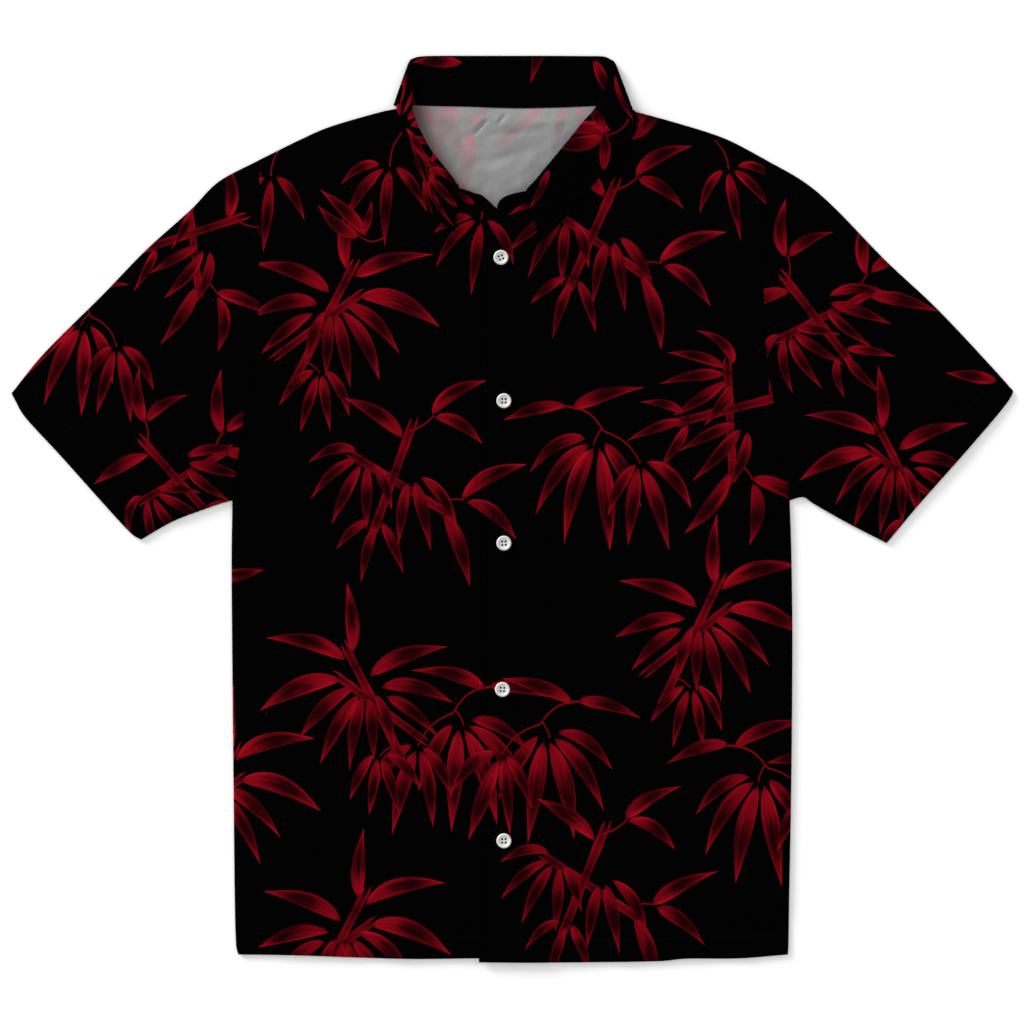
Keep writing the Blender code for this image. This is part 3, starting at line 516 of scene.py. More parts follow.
def on_hem(distance, width, blend=1.6):
    """1 on a turned-up hem, 0 past its inner edge."""
    return smooth_step(0.5 + (width - distance) / blend)


def tucked_in(distance):
    """1 on the strip that runs on under a neighbour, fading out past it."""
    return smooth_step(1.4 - distance / (1.5 * TUCK))


def upper_borders(points, height, borders):
    """An upper face's height with its rolled folds, sunken seams and turned-up hems."""
    under = back_under(points)
    for border in borders:
        distance, along, _ = near(points, border.line)
        pucker = PUCKER * wobble(along)
        drop = EDGE_DROP * (1.0 - rounded(distance, EDGE_ROUND))
        if border.kind in HEMS:
            width, sag = HEMS[border.kind]
            seat = distance - (width - HEM_STITCH)
            height = height - sag * smooth_step(1.0 - distance / SAG_REACH)
            height = height + HEM_STEP * on_hem(distance, width)
            height = height - STITCH_DENT * bell(seat, DENT_REACH) + pucker * bell(seat, 8.0)
            height = np.maximum(height, under + LOWEST_TOP) - drop
        elif border.kind == "edge":
            seat = distance - EDGE_STITCH
            height = height - 0.7 * STITCH_DENT * bell(seat, DENT_REACH)
            height = height + 0.5 * pucker * bell(seat, 6.0) - drop
        elif border.kind == "seam":
            height = height - SEAM_DIP * bell(distance, SEAM_REACH) + 0.8 * pucker * bell(distance, 7.0)
        elif border.kind == "tucked":
            height = height - (SEAM_DIP + 0.35) * tucked_in(distance)
        elif border.kind == "fold":
            close = CLOSING + 0.1 + under
            height = close + (height - close) * rounded(distance, FOLD_ROUND)
    return height


def lower_borders(points, height, borders):
    """The same for a lower face, which the hems and seams press up from the table."""
    under = back_under(points)
    for border in borders:
        distance, along, _ = near(points, border.line)
        pucker = 0.6 * PUCKER * (1.0 + wobble(along))
        if border.kind in HEMS:
            width = HEMS[border.kind][0]
            seat = distance - (width - HEM_STITCH)
            height = height - UNDER_HEM_STEP * on_hem(distance, width)
            height = height + STITCH_DENT * bell(seat, DENT_REACH) + pucker * bell(seat, 8.0)
            height = height + UNDER_EDGE_RISE * (1.0 - rounded(distance, EDGE_ROUND))
        elif border.kind == "seam":
            height = height + SEAM_DIP * bell(distance, SEAM_REACH) + pucker * bell(distance, 7.0)
        elif border.kind == "tucked":
            height = height + 0.3 * SEAM_DIP * tucked_in(distance)
        elif border.kind == "band":
            height = height - BAND_DIP * tucked_in(distance)
        elif border.kind == "fold":
            close = CLOSING - 0.1 + under
            height = close + (height - close) * rounded(distance, FOLD_ROUND)
    return height


# ---------------------------------------------------------------- the leaf print

Leaf = namedtuple("Leaf", "x y aim length width bend tone")
Stalk = namedtuple("Stalk", "x0 y0 x1 y1 width tone")
Stem = namedtuple("Stem", "x0 y0 x1 y1 bow width")
Motif = namedtuple("Motif", "kind spine half outline look")

# What is painted first lies under what comes after. Angles are in degrees from +X, and bend is how far
# a leaf's tip turns from its base's aim. tone is 1 for a bright leaf and 0 for one in shade.
SPRAY = [
    Stalk(-34, -60, 18, 42, 7.5, 0.6), Stalk(-46, -34, 24, 18, 7.0, 0.5), Stem(-26, -40, -10, -50, 2, 1.2),
    Leaf(14, 40, 100, 62, 12, -22, 0.65), Leaf(20, 34, 44, 74, 14, -44, 0.6),
    Leaf(-2, 20, 132, 74, 14, 42, 0.6), Leaf(-12, 10, 160, 66, 13, 50, 0.5),
    Leaf(-16, 2, 196, 58, 11, 34, 0.45), Leaf(24, 16, 12, 78, 16, -50, 0.75),
    Leaf(-6, 4, 236, 48, 9, 20, 0.5), Leaf(12, 10, 346, 66, 12, -44, 0.6), Leaf(-1, 2, 262, 56, 10, 6, 0.4),
    Leaf(8, 4, 316, 70, 12, -26, 0.5), Leaf(4, 2, 286, 66, 11, -8, 0.45),
    Leaf(-15, -48, 200, 44, 9, 38, 0.5), Leaf(-5, -48, 322, 46, 9, -38, 0.55),
    Leaf(-12, -52, 244, 52, 9, 14, 0.45), Leaf(-8, -52, 282, 50, 9, -6, 0.5),
]
CROSSED = [
    Stalk(-48, 18, 34, -32, 7.5, 0.6), Stalk(-30, -44, 2, 44, 8.0, 0.5), Stem(0, 40, 22, 54, -2, 1.5),
    Stem(22, -26, 48, -20, 3, 1.5), Leaf(20, 54, 62, 58, 12, -46, 0.55), Leaf(22, 52, 6, 50, 11, -54, 0.5),
    Leaf(46, -20, 52, 66, 13, -36, 0.6), Leaf(50, -22, 354, 56, 12, -48, 0.45),
    Leaf(30, -32, 304, 68, 13, -22, 0.5), Leaf(-6, 34, 120, 64, 13, 40, 0.6),
    Leaf(-46, 22, 150, 46, 9, 66, 0.55), Leaf(-46, 15, 196, 54, 9, 38, 0.5),
    Leaf(-32, 12, 304, 44, 9, -18, 0.5), Leaf(-42, 11, 232, 58, 10, 18, 0.45),
    Leaf(-37, 10, 268, 56, 10, 2, 0.4), Leaf(10, 0, 330, 56, 10, -38, 0.55),
    Leaf(-1, -5, 256, 56, 10, 8, 0.45), Leaf(5, -4, 292, 62, 11, -14, 0.45),
    Leaf(-34, -38, 192, 40, 8, 44, 0.5), Leaf(-24, -40, 306, 48, 9, -20, 0.55),
    Leaf(-29, -42, 246, 52, 9, 14, 0.45),
]
BRANCH = [
    Stem(-34, 66, 0, 44, 6, 1.8), Stem(0, 44, 32, 16, 5, 1.4), Stem(-2, 46, -9, 32, -1, 1.3),
    Leaf(-32, 66, 168, 58, 11, 38, 0.55), Leaf(-28, 63, 40, 68, 12, -36, 0.6),
    Leaf(-16, 37, 172, 60, 11, 60, 0.5), Leaf(1, 34, 316, 66, 12, -26, 0.5),
    Leaf(-13, 32, 208, 78, 13, 38, 0.55), Leaf(-9, 29, 240, 88, 15, 20, 0.65),
    Leaf(-4, 29, 276, 90, 15, 0, 0.7), Leaf(37, 17, 344, 58, 12, -46, 0.5),
    Leaf(28, 15, 222, 52, 10, 30, 0.5), Leaf(30, 12, 256, 68, 12, 10, 0.45),
    Leaf(34, 12, 298, 76, 13, -16, 0.6),
]
FAN = [
    Stem(1, 1, 14, 28, 3, 1.3), Leaf(-7, 3, 160, 38, 8, 62, 0.6), Leaf(6, 0, 322, 46, 9, -36, 0.55),
    Leaf(-4, 0, 204, 54, 9, 36, 0.5), Leaf(1, -2, 256, 64, 10, 6, 0.45),
]
NECK_LEAVES = [
    Stem(-60, 356, -38, 332, 2, 1.4), Leaf(-84, 352, 284, 60, 15, 22, 0.6),
    Leaf(-74, 356, 262, 52, 14, 14, 0.6), Leaf(-62, 354, 300, 52, 15, -14, 0.5),
    Leaf(-48, 356, 236, 50, 14, 16, 0.5), Leaf(-38, 332, 272, 62, 14, -14, 0.7),
    Leaf(-36, 334, 48, 36, 9, 10, 0.5), Leaf(28, 352, 214, 58, 11, 12, 0.6),
    Leaf(44, 356, 258, 38, 9, 8, 0.5), Leaf(56, 354, 298, 32, 9, -12, 0.4),
]
TWIG = [
    Stem(-20, -2, 6, 4, -4, 1.6), Leaf(-1, 3, 68, 72, 14, -20, 0.7), Leaf(6, 4, 22, 58, 14, 38, 0.55),
    Leaf(4, 6, 134, 38, 9, -26, 0.55),
]
EDGE_LEAF = [
    Leaf(0, 0, 6, 46, 11, 8, 0.5),
]

# Where a recipe is printed, turned by degrees, at what size and whether mirrored
Spot = namedtuple("Spot", "recipe x y turn size mirror", defaults=(0, 1.0, False))
FRONT_PRINT = [
    Spot(SPRAY, -158, 169), Spot(CROSSED, -90, 28), Spot(BRANCH, 80, 24), Spot(CROSSED, 84, 238, -4),
    Spot(FAN, -28, 252, 2), Spot(FAN, 190, 296, 0, 0.95, True), Spot(SPRAY, 164, -106, 2),
    Spot(BRANCH, -50, -222, 2, 1.0, True), Spot(SPRAY, -126, -166, 0, 1.0, True),
    Spot(BRANCH, 22, -232, -3, 1.0, True), Spot(CROSSED, 77, -324, -2), Spot(SPRAY, -148, -380),
    Spot(SPRAY, -262, -254), Spot(EDGE_LEAF, -262, -62), Spot(EDGE_LEAF, 268, -216, 176),
    Spot(BRANCH, 226, -270, 4), Spot(CROSSED, 200, 76, -56), Spot(FAN, -212, 290, 4),
    Spot(FAN, -108, 298, 6, 1.05), Spot(TWIG, -128, 236, 10, 0.8, True), Spot(TWIG, 98, 318, 8, 0.9),
]
SLEEVE_PRINT = [
    Spot(CROSSED, 272, 178, 58, 0.92), Spot(SPRAY, 336, 34, 0, 0.9, True), Spot(EDGE_LEAF, 424, 112, 160),
    Spot(BRANCH, -374, 132, -8, 0.84), Spot(CROSSED, -288, 38, 62, 0.88),
    Spot(CROSSED, -270, 232, -52, 0.88),
]
BACK_PRINT = [
    Spot(NECK_LEAVES, 0, 0), Spot(TWIG, 2, 232, 10, 1.0, True), Spot(CROSSED, 150, 250, 8, 1.0, True),
    Spot(BRANCH, -160, 262), Spot(CROSSED, -84, 130, 4), Spot(SPRAY, 96, 104),
    Spot(BRANCH, -196, 46, 6, 1.0, True), Spot(BRANCH, 206, 20), Spot(SPRAY, -20, -36, 0, 1.0, True),
    Spot(CROSSED, 146, -96, -6), Spot(CROSSED, -158, -112, 50), Spot(BRANCH, 26, -186, -4, 1.0, True),
    Spot(SPRAY, -146, -262), Spot(SPRAY, 176, -260, 0, 1.0, True), Spot(CROSSED, 10, -330, -2),
    Spot(FAN, -220, -366), Spot(FAN, 100, -386, -8, 1.0, True),
]
UNDER_SLEEVE_PRINT = [
    Spot(SPRAY, -318, 140, 20, 1.0, True), Spot(BRANCH, -290, 30), Spot(FAN, -392, 70, -20),
    Spot(SPRAY, 316, 150, -10), Spot(CROSSED, 322, 30, 30), Spot(FAN, 400, 96, 10, 1.0, True),
]


LEAF, STALK, STEM = 1.0, 2.0, 3.0    # the kinds, as the finishes read them
LEAF_STEPS = 13
STALK_JOINT = 46.0       # between two joints of a cane
# A cane's torn end: places across it, from one edge to the other, and how far each stands out
TORN_END = [(1.0, 2.0), (0.6, 7.5), (0.28, -1.5), (0.04, 2.5), (-0.22, -4.5), (-0.56, 10.5), (-1.0, 3.0)]


def at_spot(x, y, spot):
    """A recipe's own point at the spot's size, mirrored where the spot is."""
    return np.array([-x if spot.mirror else x, y]) * spot.size


def leaf_motif(leaf, spot, number):
    """A lance-shaped leaf: narrow at its base, widest at a third, drawn out to a point."""
    aim, bend = math.radians(leaf.aim), math.radians(leaf.bend)
    if spot.mirror:
        aim, bend = math.pi - aim, -bend
    share = np.linspace(0.0, 1.0, LEAF_STEPS + 1)
    angles = aim + bend * (1.0 - (1.0 - 0.5 * (share[:-1] + share[1:])) ** 1.8)
    steps = np.stack([np.cos(angles), np.sin(angles)], axis=1) * leaf.length * spot.size / LEAF_STEPS
    spine = at_spot(leaf.x, leaf.y, spot) + np.concatenate([[[0.0, 0.0]], np.cumsum(steps, axis=0)])
    random = (math.sin(number * 12.9898 + leaf.x * 0.731 + leaf.y * 0.377) * 43758.5453) % 1.0
    swell = share ** (0.68 + 0.24 * random) * (1.0 - share) ** (1.38 - 0.2 * random)
    half = 0.5 * leaf.width * spot.size * swell / swell.max()
    run = unit(np.gradient(spine, axis=0))
    spine = spine + np.stack([-run[:, 1], run[:, 0]], axis=1) * (half * 0.5 * (random - 0.5))[:, None]
    return finish_motif(LEAF, spine, half, spot, (random, leaf.width * spot.size / 2.1, leaf.tone))


def stalk_motif(stalk, spot, number):
    """A cut length of cane: slightly thicker at its joints, and torn at both ends."""
    start, end = at_spot(stalk.x0, stalk.y0, spot), at_spot(stalk.x1, stalk.y1, spot)
    length = np.linalg.norm(end - start)
    share = np.linspace(0.0, 1.0, max(8, round(length / 4.0)) + 1)
    spine = start + share[:, None] * (end - start)
    joint = np.abs((share * length / STALK_JOINT + 0.35) % 1.0 - 0.5) * 2.0
    half = 0.5 * stalk.width * spot.size * (0.86 + 0.16 * joint ** 6 + 0.12 * (2.0 * share - 1.0) ** 2)
    look = ((number * 0.37) % 1.0, stalk.width * spot.size / 1.6, stalk.tone)
    return finish_motif(STALK, spine, half, spot, look)


def stem_motif(stem, spot, number):
    """A thin twig with a slight bow."""
    start, end = at_spot(stem.x0, stem.y0, spot), at_spot(stem.x1, stem.y1, spot)
    share = np.linspace(0.0, 1.0, 7)
    side = unit(np.array([start[1] - end[1], end[0] - start[0]]))
    bow = (-stem.bow if spot.mirror else stem.bow) * np.sin(math.pi * share)
    spine = start + share[:, None] * (end - start) + bow[:, None] * side
    half = 0.5 * stem.width * spot.size * (1.0 - 0.35 * share)
    return finish_motif(STEM, spine, half, spot, (0.5, 1.0, 0.8))


def finish_motif(kind, spine, half, spot, look):
    """Turns a motif, puts it in its place and draws its outline."""
    angle = math.radians(spot.turn)
    turned = np.array([[math.cos(angle), math.sin(angle)], [-math.sin(angle), math.cos(angle)]])
    spine = spine @ turned + (spot.x, spot.y)
    run = unit(np.gradient(spine, axis=0))
    normal = np.stack([-run[:, 1], run[:, 0]], axis=1)
    left, right = spine + normal * half[:, None], spine - normal * half[:, None]
    if kind == LEAF:
        outline = np.concatenate([left[:-1], spine[-1:], right[-2:0:-1]])
    elif kind == STALK:
        far = [spine[-1] + normal[-1] * half[-1] * across + run[-1] * out for across, out in TORN_END]
        close = [spine[0] - normal[0] * half[0] * across - run[0] * out for across, out in TORN_END]
        outline = np.concatenate([left[1:-1], far, right[-2:0:-1], close])
    else:
        outline = np.concatenate([left, right[::-1]])
    return Motif(kind, spine, half, counter_clockwise(outline), look)


MAKERS = {Leaf: leaf_motif, Stalk: stalk_motif, Stem: stem_motif}


def motifs_of(spots, panel):
    """All motifs of a list of spots that reach a panel's outline."""
    motifs = []
    for number, spot in enumerate(spots, 1):
        for item in spot.recipe:
            made = MAKERS[type(item)](item, spot, number)
            if (made.outline.max(axis=0) > panel.min(axis=0)).all() \
                    and (made.outline.min(axis=0) < panel.max(axis=0)).all():
                motifs.append(made)
    return motifs


def on_motif(points, motif):
    """Where points lie on a motif: -1 to 1 across it, and 0 to 1 along it."""
    distance, along, side = near(points, motif.spine)
    lengths = walked(motif.spine)
    half = np.maximum(np.interp(along, lengths, motif.half), 0.06)
    total = STALK_JOINT if motif.kind == STALK else lengths[-1]
    return np.clip(side * distance / half, -1.1, 1.1), along / total


# ---------------------------------------------------------------- cutting cloth into triangles

JOIN_WITHIN = 0.01       # points nearer than this become one


def panel_grid(low, high, cell):
    """Evenly spaced points in staggered rows."""
    rows = np.arange(low[1], high[1], cell * math.sqrt(0.75))
    points = []
    for r, y in enumerate(rows):
        x = np.arange(low[0] + (0.5 * cell if r % 2 else 0.0), high[0], cell)
        points.append(np.stack([x, np.full(len(x), y)], axis=1))
    return np.concatenate(points)


def triangulate(outline, guides, prints, cell, fine_part=None, fine_cell=None):
    """Triangles inside an outline that keep to the guides' and the motifs' lines, smaller in one part.

    Returns points, triangles, and for each print the number of its uppermost motif at every triangle, or -1.
    """
    outline = counter_clockwise(outline)
    grid = panel_grid(outline.min(axis=0), outline.max(axis=0), cell)
    if fine_part:
        low, high = np.array(fine_part)
        outside = ((grid < low) | (grid > high)).any(axis=1)
        grid = np.concatenate([grid[outside], panel_grid(low, high, fine_cell)])
    loop = np.concatenate([outline, outline[:1]])
    grid = grid[near(grid, loop)[0] > EDGE_ROWS[-1] + 0.5 * cell]
    points, edges, faces = [], [], []

    def add(line):
        points.extend(line)
        return list(range(len(points) - len(line), len(points)))

    faces.append(add(outline))
    for motifs in prints:
        faces += [add(motif.outline) for motif in motifs]
    for distance in EDGE_ROWS:
        row = add(moved(outline, distance, closed=True))
        edges += zip(row, row[1:] + row[:1])
    for guide in guides:
        row = add(guide)
        edges += zip(row, row[1:])
    add(grid)
    corners, _, triangles, _, _, sources = geometry.delaunay_2d_cdt(
        [Vector(point) for point in points], edges, faces, 0, JOIN_WITHIN, True)
    corners = np.array([corner.to_tuple() for corner in corners])
    kept = [(triangle, source) for triangle, source in zip(triangles, sources) if 0 in source]
    uppermost, first = [], 1
    for motifs in prints:
        after = first + len(motifs)
        uppermost.append(np.array([max([number - first for number in source if first <= number < after],
                                       default=-1) for _, source in kept]))
        first = after
    used, triangles = np.unique(np.array([triangle for triangle, _ in kept]), return_inverse=True)
    return corners[used], triangles.reshape(-1, 3), uppermost


def print_values(corners, triangles, uppermost, motifs):
    """For every corner of every triangle: (across, along, kind) and (chance, veins, tone) of its motif."""
    place, look = np.zeros((2, len(triangles), 3, 3))
    for number in np.unique(uppermost[uppermost >= 0]):
        motif = motifs[number]
        chosen = uppermost == number
        across, along = on_motif(corners[triangles[chosen].ravel()], motif)
        place[chosen, :, 0] = across.reshape(-1, 3)
        place[chosen, :, 1] = along.reshape(-1, 3)
        place[chosen, :, 2] = motif.kind
        look[chosen] = motif.look
    return place, look


def area_normals(corners, triangles):
    """Each triangle's direction, as long as twice its area."""
    a, b, c = (corners[triangles[:, i]] for i in range(3))
    return np.cross(b - a, c - a)


def corner_normals(corners, triangles):
    """The direction out of the cloth at each corner. Triangles count by their area, so slivers don't."""
    across = area_normals(corners, triangles)
    total = np.zeros((len(corners), 3))
    for i in range(3):
        np.add.at(total, triangles[:, i], across)
    return unit(total)


def facing(corners, triangles, out):
    """The order of each triangle's corners that turns it the way out points."""
    wrong = (area_normals(corners, triangles) * out).sum(axis=1) < 0
    return np.where(wrong[:, None], (0, 2, 1), (0, 1, 2))


def new_mesh(name, corners, edges, faces):
    """A mesh from corners in millimetres."""
    mesh = bpy.data.meshes.new(name)
    mesh.from_pydata((np.array(corners) * MM).tolist(), edges, faces)
    return mesh


def in_scene(name, data):
    thing = bpy.data.objects.new(name, data)
    bpy.context.scene.collection.objects.link(thing)
    return thing


def worked_out(thing):
    """The mesh that an object's modifiers make of it. The object goes."""
    bpy.context.view_layer.update()
    mesh = bpy.data.meshes.new_from_object(thing.evaluated_get(bpy.context.evaluated_depsgraph_get()))
    bpy.data.objects.remove(thing, do_unlink=True)
    return mesh


def shirt_piece(name, mesh):
    piece = in_scene(name, mesh)
    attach(piece, "root")
    return piece


def open_edges(triangles):
    """Each edge that only one triangle has, as the triangle's number and the edge's place in it."""
    start, end = triangles.ravel(), np.roll(triangles, -1, axis=1).ravel()
    count = triangles.max() + 1
    alone = ~np.isin(start * count + end, end * count + start)
    return np.flatnonzero(alone) // 3, np.flatnonzero(alone) % 3


def cloth_piece(node, corners, triangles, order, marks, wall, inner_finish):
    """One piece of cloth over its solid: its outer face, the inner face behind it at the wall's thickness
    at each corner, and the rim between the two. order turns each triangle outwards. marks are the print's
    values at each triangle's corners."""
    rows = np.arange(len(triangles))[:, None]
    triangles, marks = triangles[rows, order], [values[rows, order] for values in marks]
    count = len(corners)
    out = corner_normals(corners, triangles)
    inner = corners - out * wall[:, None]
    lone, first = open_edges(triangles)
    second = (first + 1) % 3
    a, b = triangles[lone, first], triangles[lone, second]
    rim = np.stack([b, a, a + count, b + count], axis=1)
    sideways = unit(np.cross(inner[a] - corners[a], corners[b] - corners[a]))[:, None]
    rim_out = unit(sideways + RIM_ROUND * np.stack([out[b], out[a], -out[a], -out[b]], axis=1))
    turned = triangles[:, ::-1]
    mesh = new_mesh(node + "_cloth", np.concatenate([corners, inner]), [],
                    triangles.tolist() + (turned + count).tolist() + rim.tolist())

    def whole(outer, behind, at_rim):
        return np.concatenate([part.reshape(-1, 3) for part in (outer, behind, at_rim)])

    for title, values in zip(("leaf", "look"), marks):
        layer = mesh.attributes.new(title, "FLOAT_VECTOR", "CORNER")
        at_rim = values[lone[:, None], np.stack([second, first, first, second], axis=1)]
        layer.data.foreach_set("vector", whole(values, values[:, ::-1], at_rim).astype(np.float32).ravel())
    mesh.materials.append(OUTSIDE)
    mesh.materials.append(inner_finish)
    slots = np.zeros(2 * len(triangles) + len(rim), dtype=np.int32)
    slots[len(triangles):2 * len(triangles)] = 1
    mesh.polygons.foreach_set("material_index", slots)
    mesh.shade_smooth()
    mesh.normals_split_custom_set(whole(out[triangles], -out[turned], rim_out).tolist())
    piece = shirt_piece(node + "_cloth", mesh)
    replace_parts(piece, node)
    return piece


# ---------------------------------------------------------------- finishes

def sum_of(operation, swapped=False):
    """The way a sign between two amounts, or an amount and a number, adds its node."""
    def apply(self, other):
        return self.finish.maths(operation, *((other, self) if swapped else (self, other)))
    return apply


class Amount:
    """A number on its way through a finish, so that a formula on it adds its nodes."""

    def __init__(self, finish, socket):
        self.finish = finish
        self.socket = socket

    __add__, __radd__ = sum_of("ADD"), sum_of("ADD", swapped=True)
    __sub__, __rsub__ = sum_of("SUBTRACT"), sum_of("SUBTRACT", swapped=True)
    __mul__, __rmul__ = sum_of("MULTIPLY"), sum_of("MULTIPLY", swapped=True)
    __truediv__, __pow__ = sum_of("DIVIDE"), sum_of("POWER")


class Finish:
    """One material and the ways to add to it."""

    def __init__(self, name):
        self.material = bpy.data.materials.new(name)
        self.material.use_nodes = True
        self.tree = self.material.node_tree
        self.shader = self.tree.nodes["Principled BSDF"]

    def add(self, kind, settings=None, inputs=None):
        """A node with its settings, then the values or links of its sockets."""
        node = self.tree.nodes.new(kind)
        for name, value in (settings or {}).items():
            setattr(node, name, value)
        for socket, value in (inputs or {}).items():
            self.feed(node.inputs[socket], value)
        return node

    def feed(self, socket, value):
        if isinstance(value, Amount):
            value = value.socket
        if isinstance(value, bpy.types.NodeSocket):
            self.tree.links.new(value, socket)
        else:
            socket.default_value = value

    def maths(self, operation, *values):
        node = self.add("ShaderNodeMath", {"operation": operation}, dict(enumerate(values)))
        return Amount(self, node.outputs[0])

    def clear(self, value):
        """A number kept between 0 and 1."""
        return self.maths("MINIMUM", self.maths("MAXIMUM", value, 0.0), 1.0)

    def hill(self, value, middle, width):
        """1 where value is at middle, falling off to 0 about width away."""
        return self.maths("EXPONENT", -1.0 * ((value - middle) / width) ** 2.0)

    def split(self, vector):
        """A vector's three numbers."""
        node = self.add("ShaderNodeSeparateXYZ", inputs={0: vector})
        return [Amount(self, output) for output in node.outputs]

    def marks(self, attribute):
        """The three numbers that a piece's own attribute holds."""
        return self.split(self.add("ShaderNodeAttribute", {"attribute_name": attribute}).outputs["Vector"])

    def joined(self, x, y, z):
        return self.add("ShaderNodeCombineXYZ", inputs={0: x, 1: y, 2: z}).outputs[0]

    def place(self):
        return self.add("ShaderNodeTexCoord").outputs["Object"]

    def noise(self, scale, detail=2.0, roughness=0.5, vector=None):
        """Noise over the piece, or over another vector."""
        node = self.add("ShaderNodeTexNoise", inputs={"Vector": vector or self.place(), "Scale": scale,
                                                      "Detail": detail, "Roughness": roughness})
        return Amount(self, node.outputs["Fac"])

    def ramp(self, value, stops):
        """A colour that follows value: each stop is a value, red, green and blue."""
        node = self.add("ShaderNodeValToRGB", inputs={0: value})
        elements = node.color_ramp.elements
        while len(elements) < len(stops):
            elements.new(1.0)
        for element, (position, *shade) in zip(elements, stops):
            element.position = position
            element.color = (*shade, 1.0)
        return node.outputs["Color"]

    def blend(self, share, first, second):
        node = self.add("ShaderNodeMix", {"data_type": "RGBA"}, {"Factor": share, "A": first, "B": second})
        return node.outputs["Result"]

    def bump(self, height, distance, **normal):
        """A normal from a height, over another normal where one is given. distance is in millimetres."""
        inputs = {"Height": height, "Distance": distance * MM, "Strength": 1.0, **normal}
        return self.add("ShaderNodeBump", inputs=inputs).outputs["Normal"]

    def surface(self, **inputs):
        for name, value in inputs.items():
            self.feed(self.shader.inputs[name.replace("_", " ")], value)
        return self.material


WEAVE_PITCH = 0.45       # millimetres from one thread to the next
WEAVE_ROUND = 0.35       # how soon a thread goes down at its end, against how round it is across


def weave(finish):
    """Plain weave: in every other cell the thread along X lies on top, in the rest the one along Y."""
    x, y = (finish.maths("SINE", place * (math.pi / (WEAVE_PITCH * MM)))
            for place in finish.split(finish.place())[:2])
    over = finish.maths("GREATER_THAN", x * y, 0.0)
    x, y = finish.maths("ABSOLUTE", x), finish.maths("ABSOLUTE", y)
    return over * y * x ** WEAVE_ROUND + (1.0 - over) * x * y ** WEAVE_ROUND


def cloth_bump(finish, weave_height, crinkle_height):
    """The weave over a soft crinkle, as a normal."""
    crinkled = finish.bump(finish.noise(55.0, 3.0, 0.55), crinkle_height)
    return finish.bump(weave(finish), weave_height, Normal=crinkled)


def leaf_light(finish):
    """How bright the print is at a place, and 1 where there is print at all."""
    across, along, kind = finish.marks("leaf")
    chance, veins, tone = finish.marks("look")
    printed = finish.maths("GREATER_THAN", kind, 0.5)
    is_leaf = finish.maths("COMPARE", kind, LEAF, 0.4)
    is_stalk = finish.maths("COMPARE", kind, STALK, 0.4)
    rim = across * across
    # fine veins that run the length of the leaf and close up towards its tip
    fine = finish.noise(1.0, 4.0, 0.75, finish.joined(across * veins * 1.15, along * 1.5, chance * 31.0))
    broad = finish.noise(1.0, 1.0, 0.4, finish.joined(across * 1.3, along * 3.0, chance * 17.0))
    streak = finish.clear((fine - 0.38) * 4.2)
    hollow = finish.hill(along + broad * 0.3, 0.67 + chance * 0.08, 0.26)
    depth = hollow * (1.36 - tone * 0.5) * (1.0 - rim * 0.5)
    shade = finish.clear(depth * (1.3 - streak * 0.72))
    tip = finish.hill(along, 1.04, 0.16)
    lit_side = 1.0 + across * (chance - 0.5) * 0.6
    root = 1.0 - finish.hill(along, 0.0, 0.05) * 0.45
    body = (0.46 + tone * 0.34) * (1.0 - shade) * (0.82 + streak * 0.24)
    leaf = body * lit_side * root + tip * 0.16 + rim * 0.05
    # cane: darker down its middle between the joints, with lengthwise grain
    joint = finish.maths("FRACT", along + 0.35)
    near_joint = finish.hill(joint, 0.5, 0.02)
    from_joint = finish.clear(finish.maths("ABSOLUTE", joint - 0.5) * 2.0)
    grain = finish.noise(1.0, 3.0, 0.7, finish.joined(across * veins * 0.9, along * 2.2, chance * 23.0))
    cane = (0.3 + tone * 0.3) * (0.4 + from_joint * 0.55) + rim * 0.26
    stalk = cane * (0.5 + grain * 0.95) - near_joint * 0.16
    value = leaf * is_leaf + stalk * is_stalk + (1.0 - is_leaf - is_stalk) * 0.55
    return finish.clear(value), printed


def printed_cloth():
    """Black cotton with the dark red leaf print, as seen from its outside."""
    finish = Finish("printed cotton, outside")
    light, printed = leaf_light(finish)
    speckle = finish.noise(420.0, 2.0, 0.6)
    ground = finish.ramp(speckle, [(0.3, 0.0002, 0.0002, 0.0002), (0.75, 0.0007, 0.0006, 0.0007)])
    red = finish.ramp(light * (0.93 + speckle * 0.14), [
        (0.0, 0.006, 0.0002, 0.0008), (0.25, 0.032, 0.0005, 0.002), (0.55, 0.145, 0.0012, 0.0048),
        (0.8, 0.29, 0.0028, 0.0105), (1.0, 0.39, 0.005, 0.017)])
    return finish.surface(Base_Color=finish.blend(printed, ground, red), Roughness=0.85,
                          Specular_IOR_Level=0.006, Sheen_Weight=0.004, Sheen_Roughness=0.45,
                          Normal=cloth_bump(finish, 0.035, 0.5))


# Painted shade of the collar on the inside of the neck: where it is deepest, and how far it reaches
NECK_CORNER = (-86.0, 350.0)         # the neckband's upper corner on the wearer's right
FROM_BAND = (0.886, 0.463)           # the direction away from the band there
CORNER_SHADE_REACH = 22.0
BAND_SHADE_REACH = 12.0


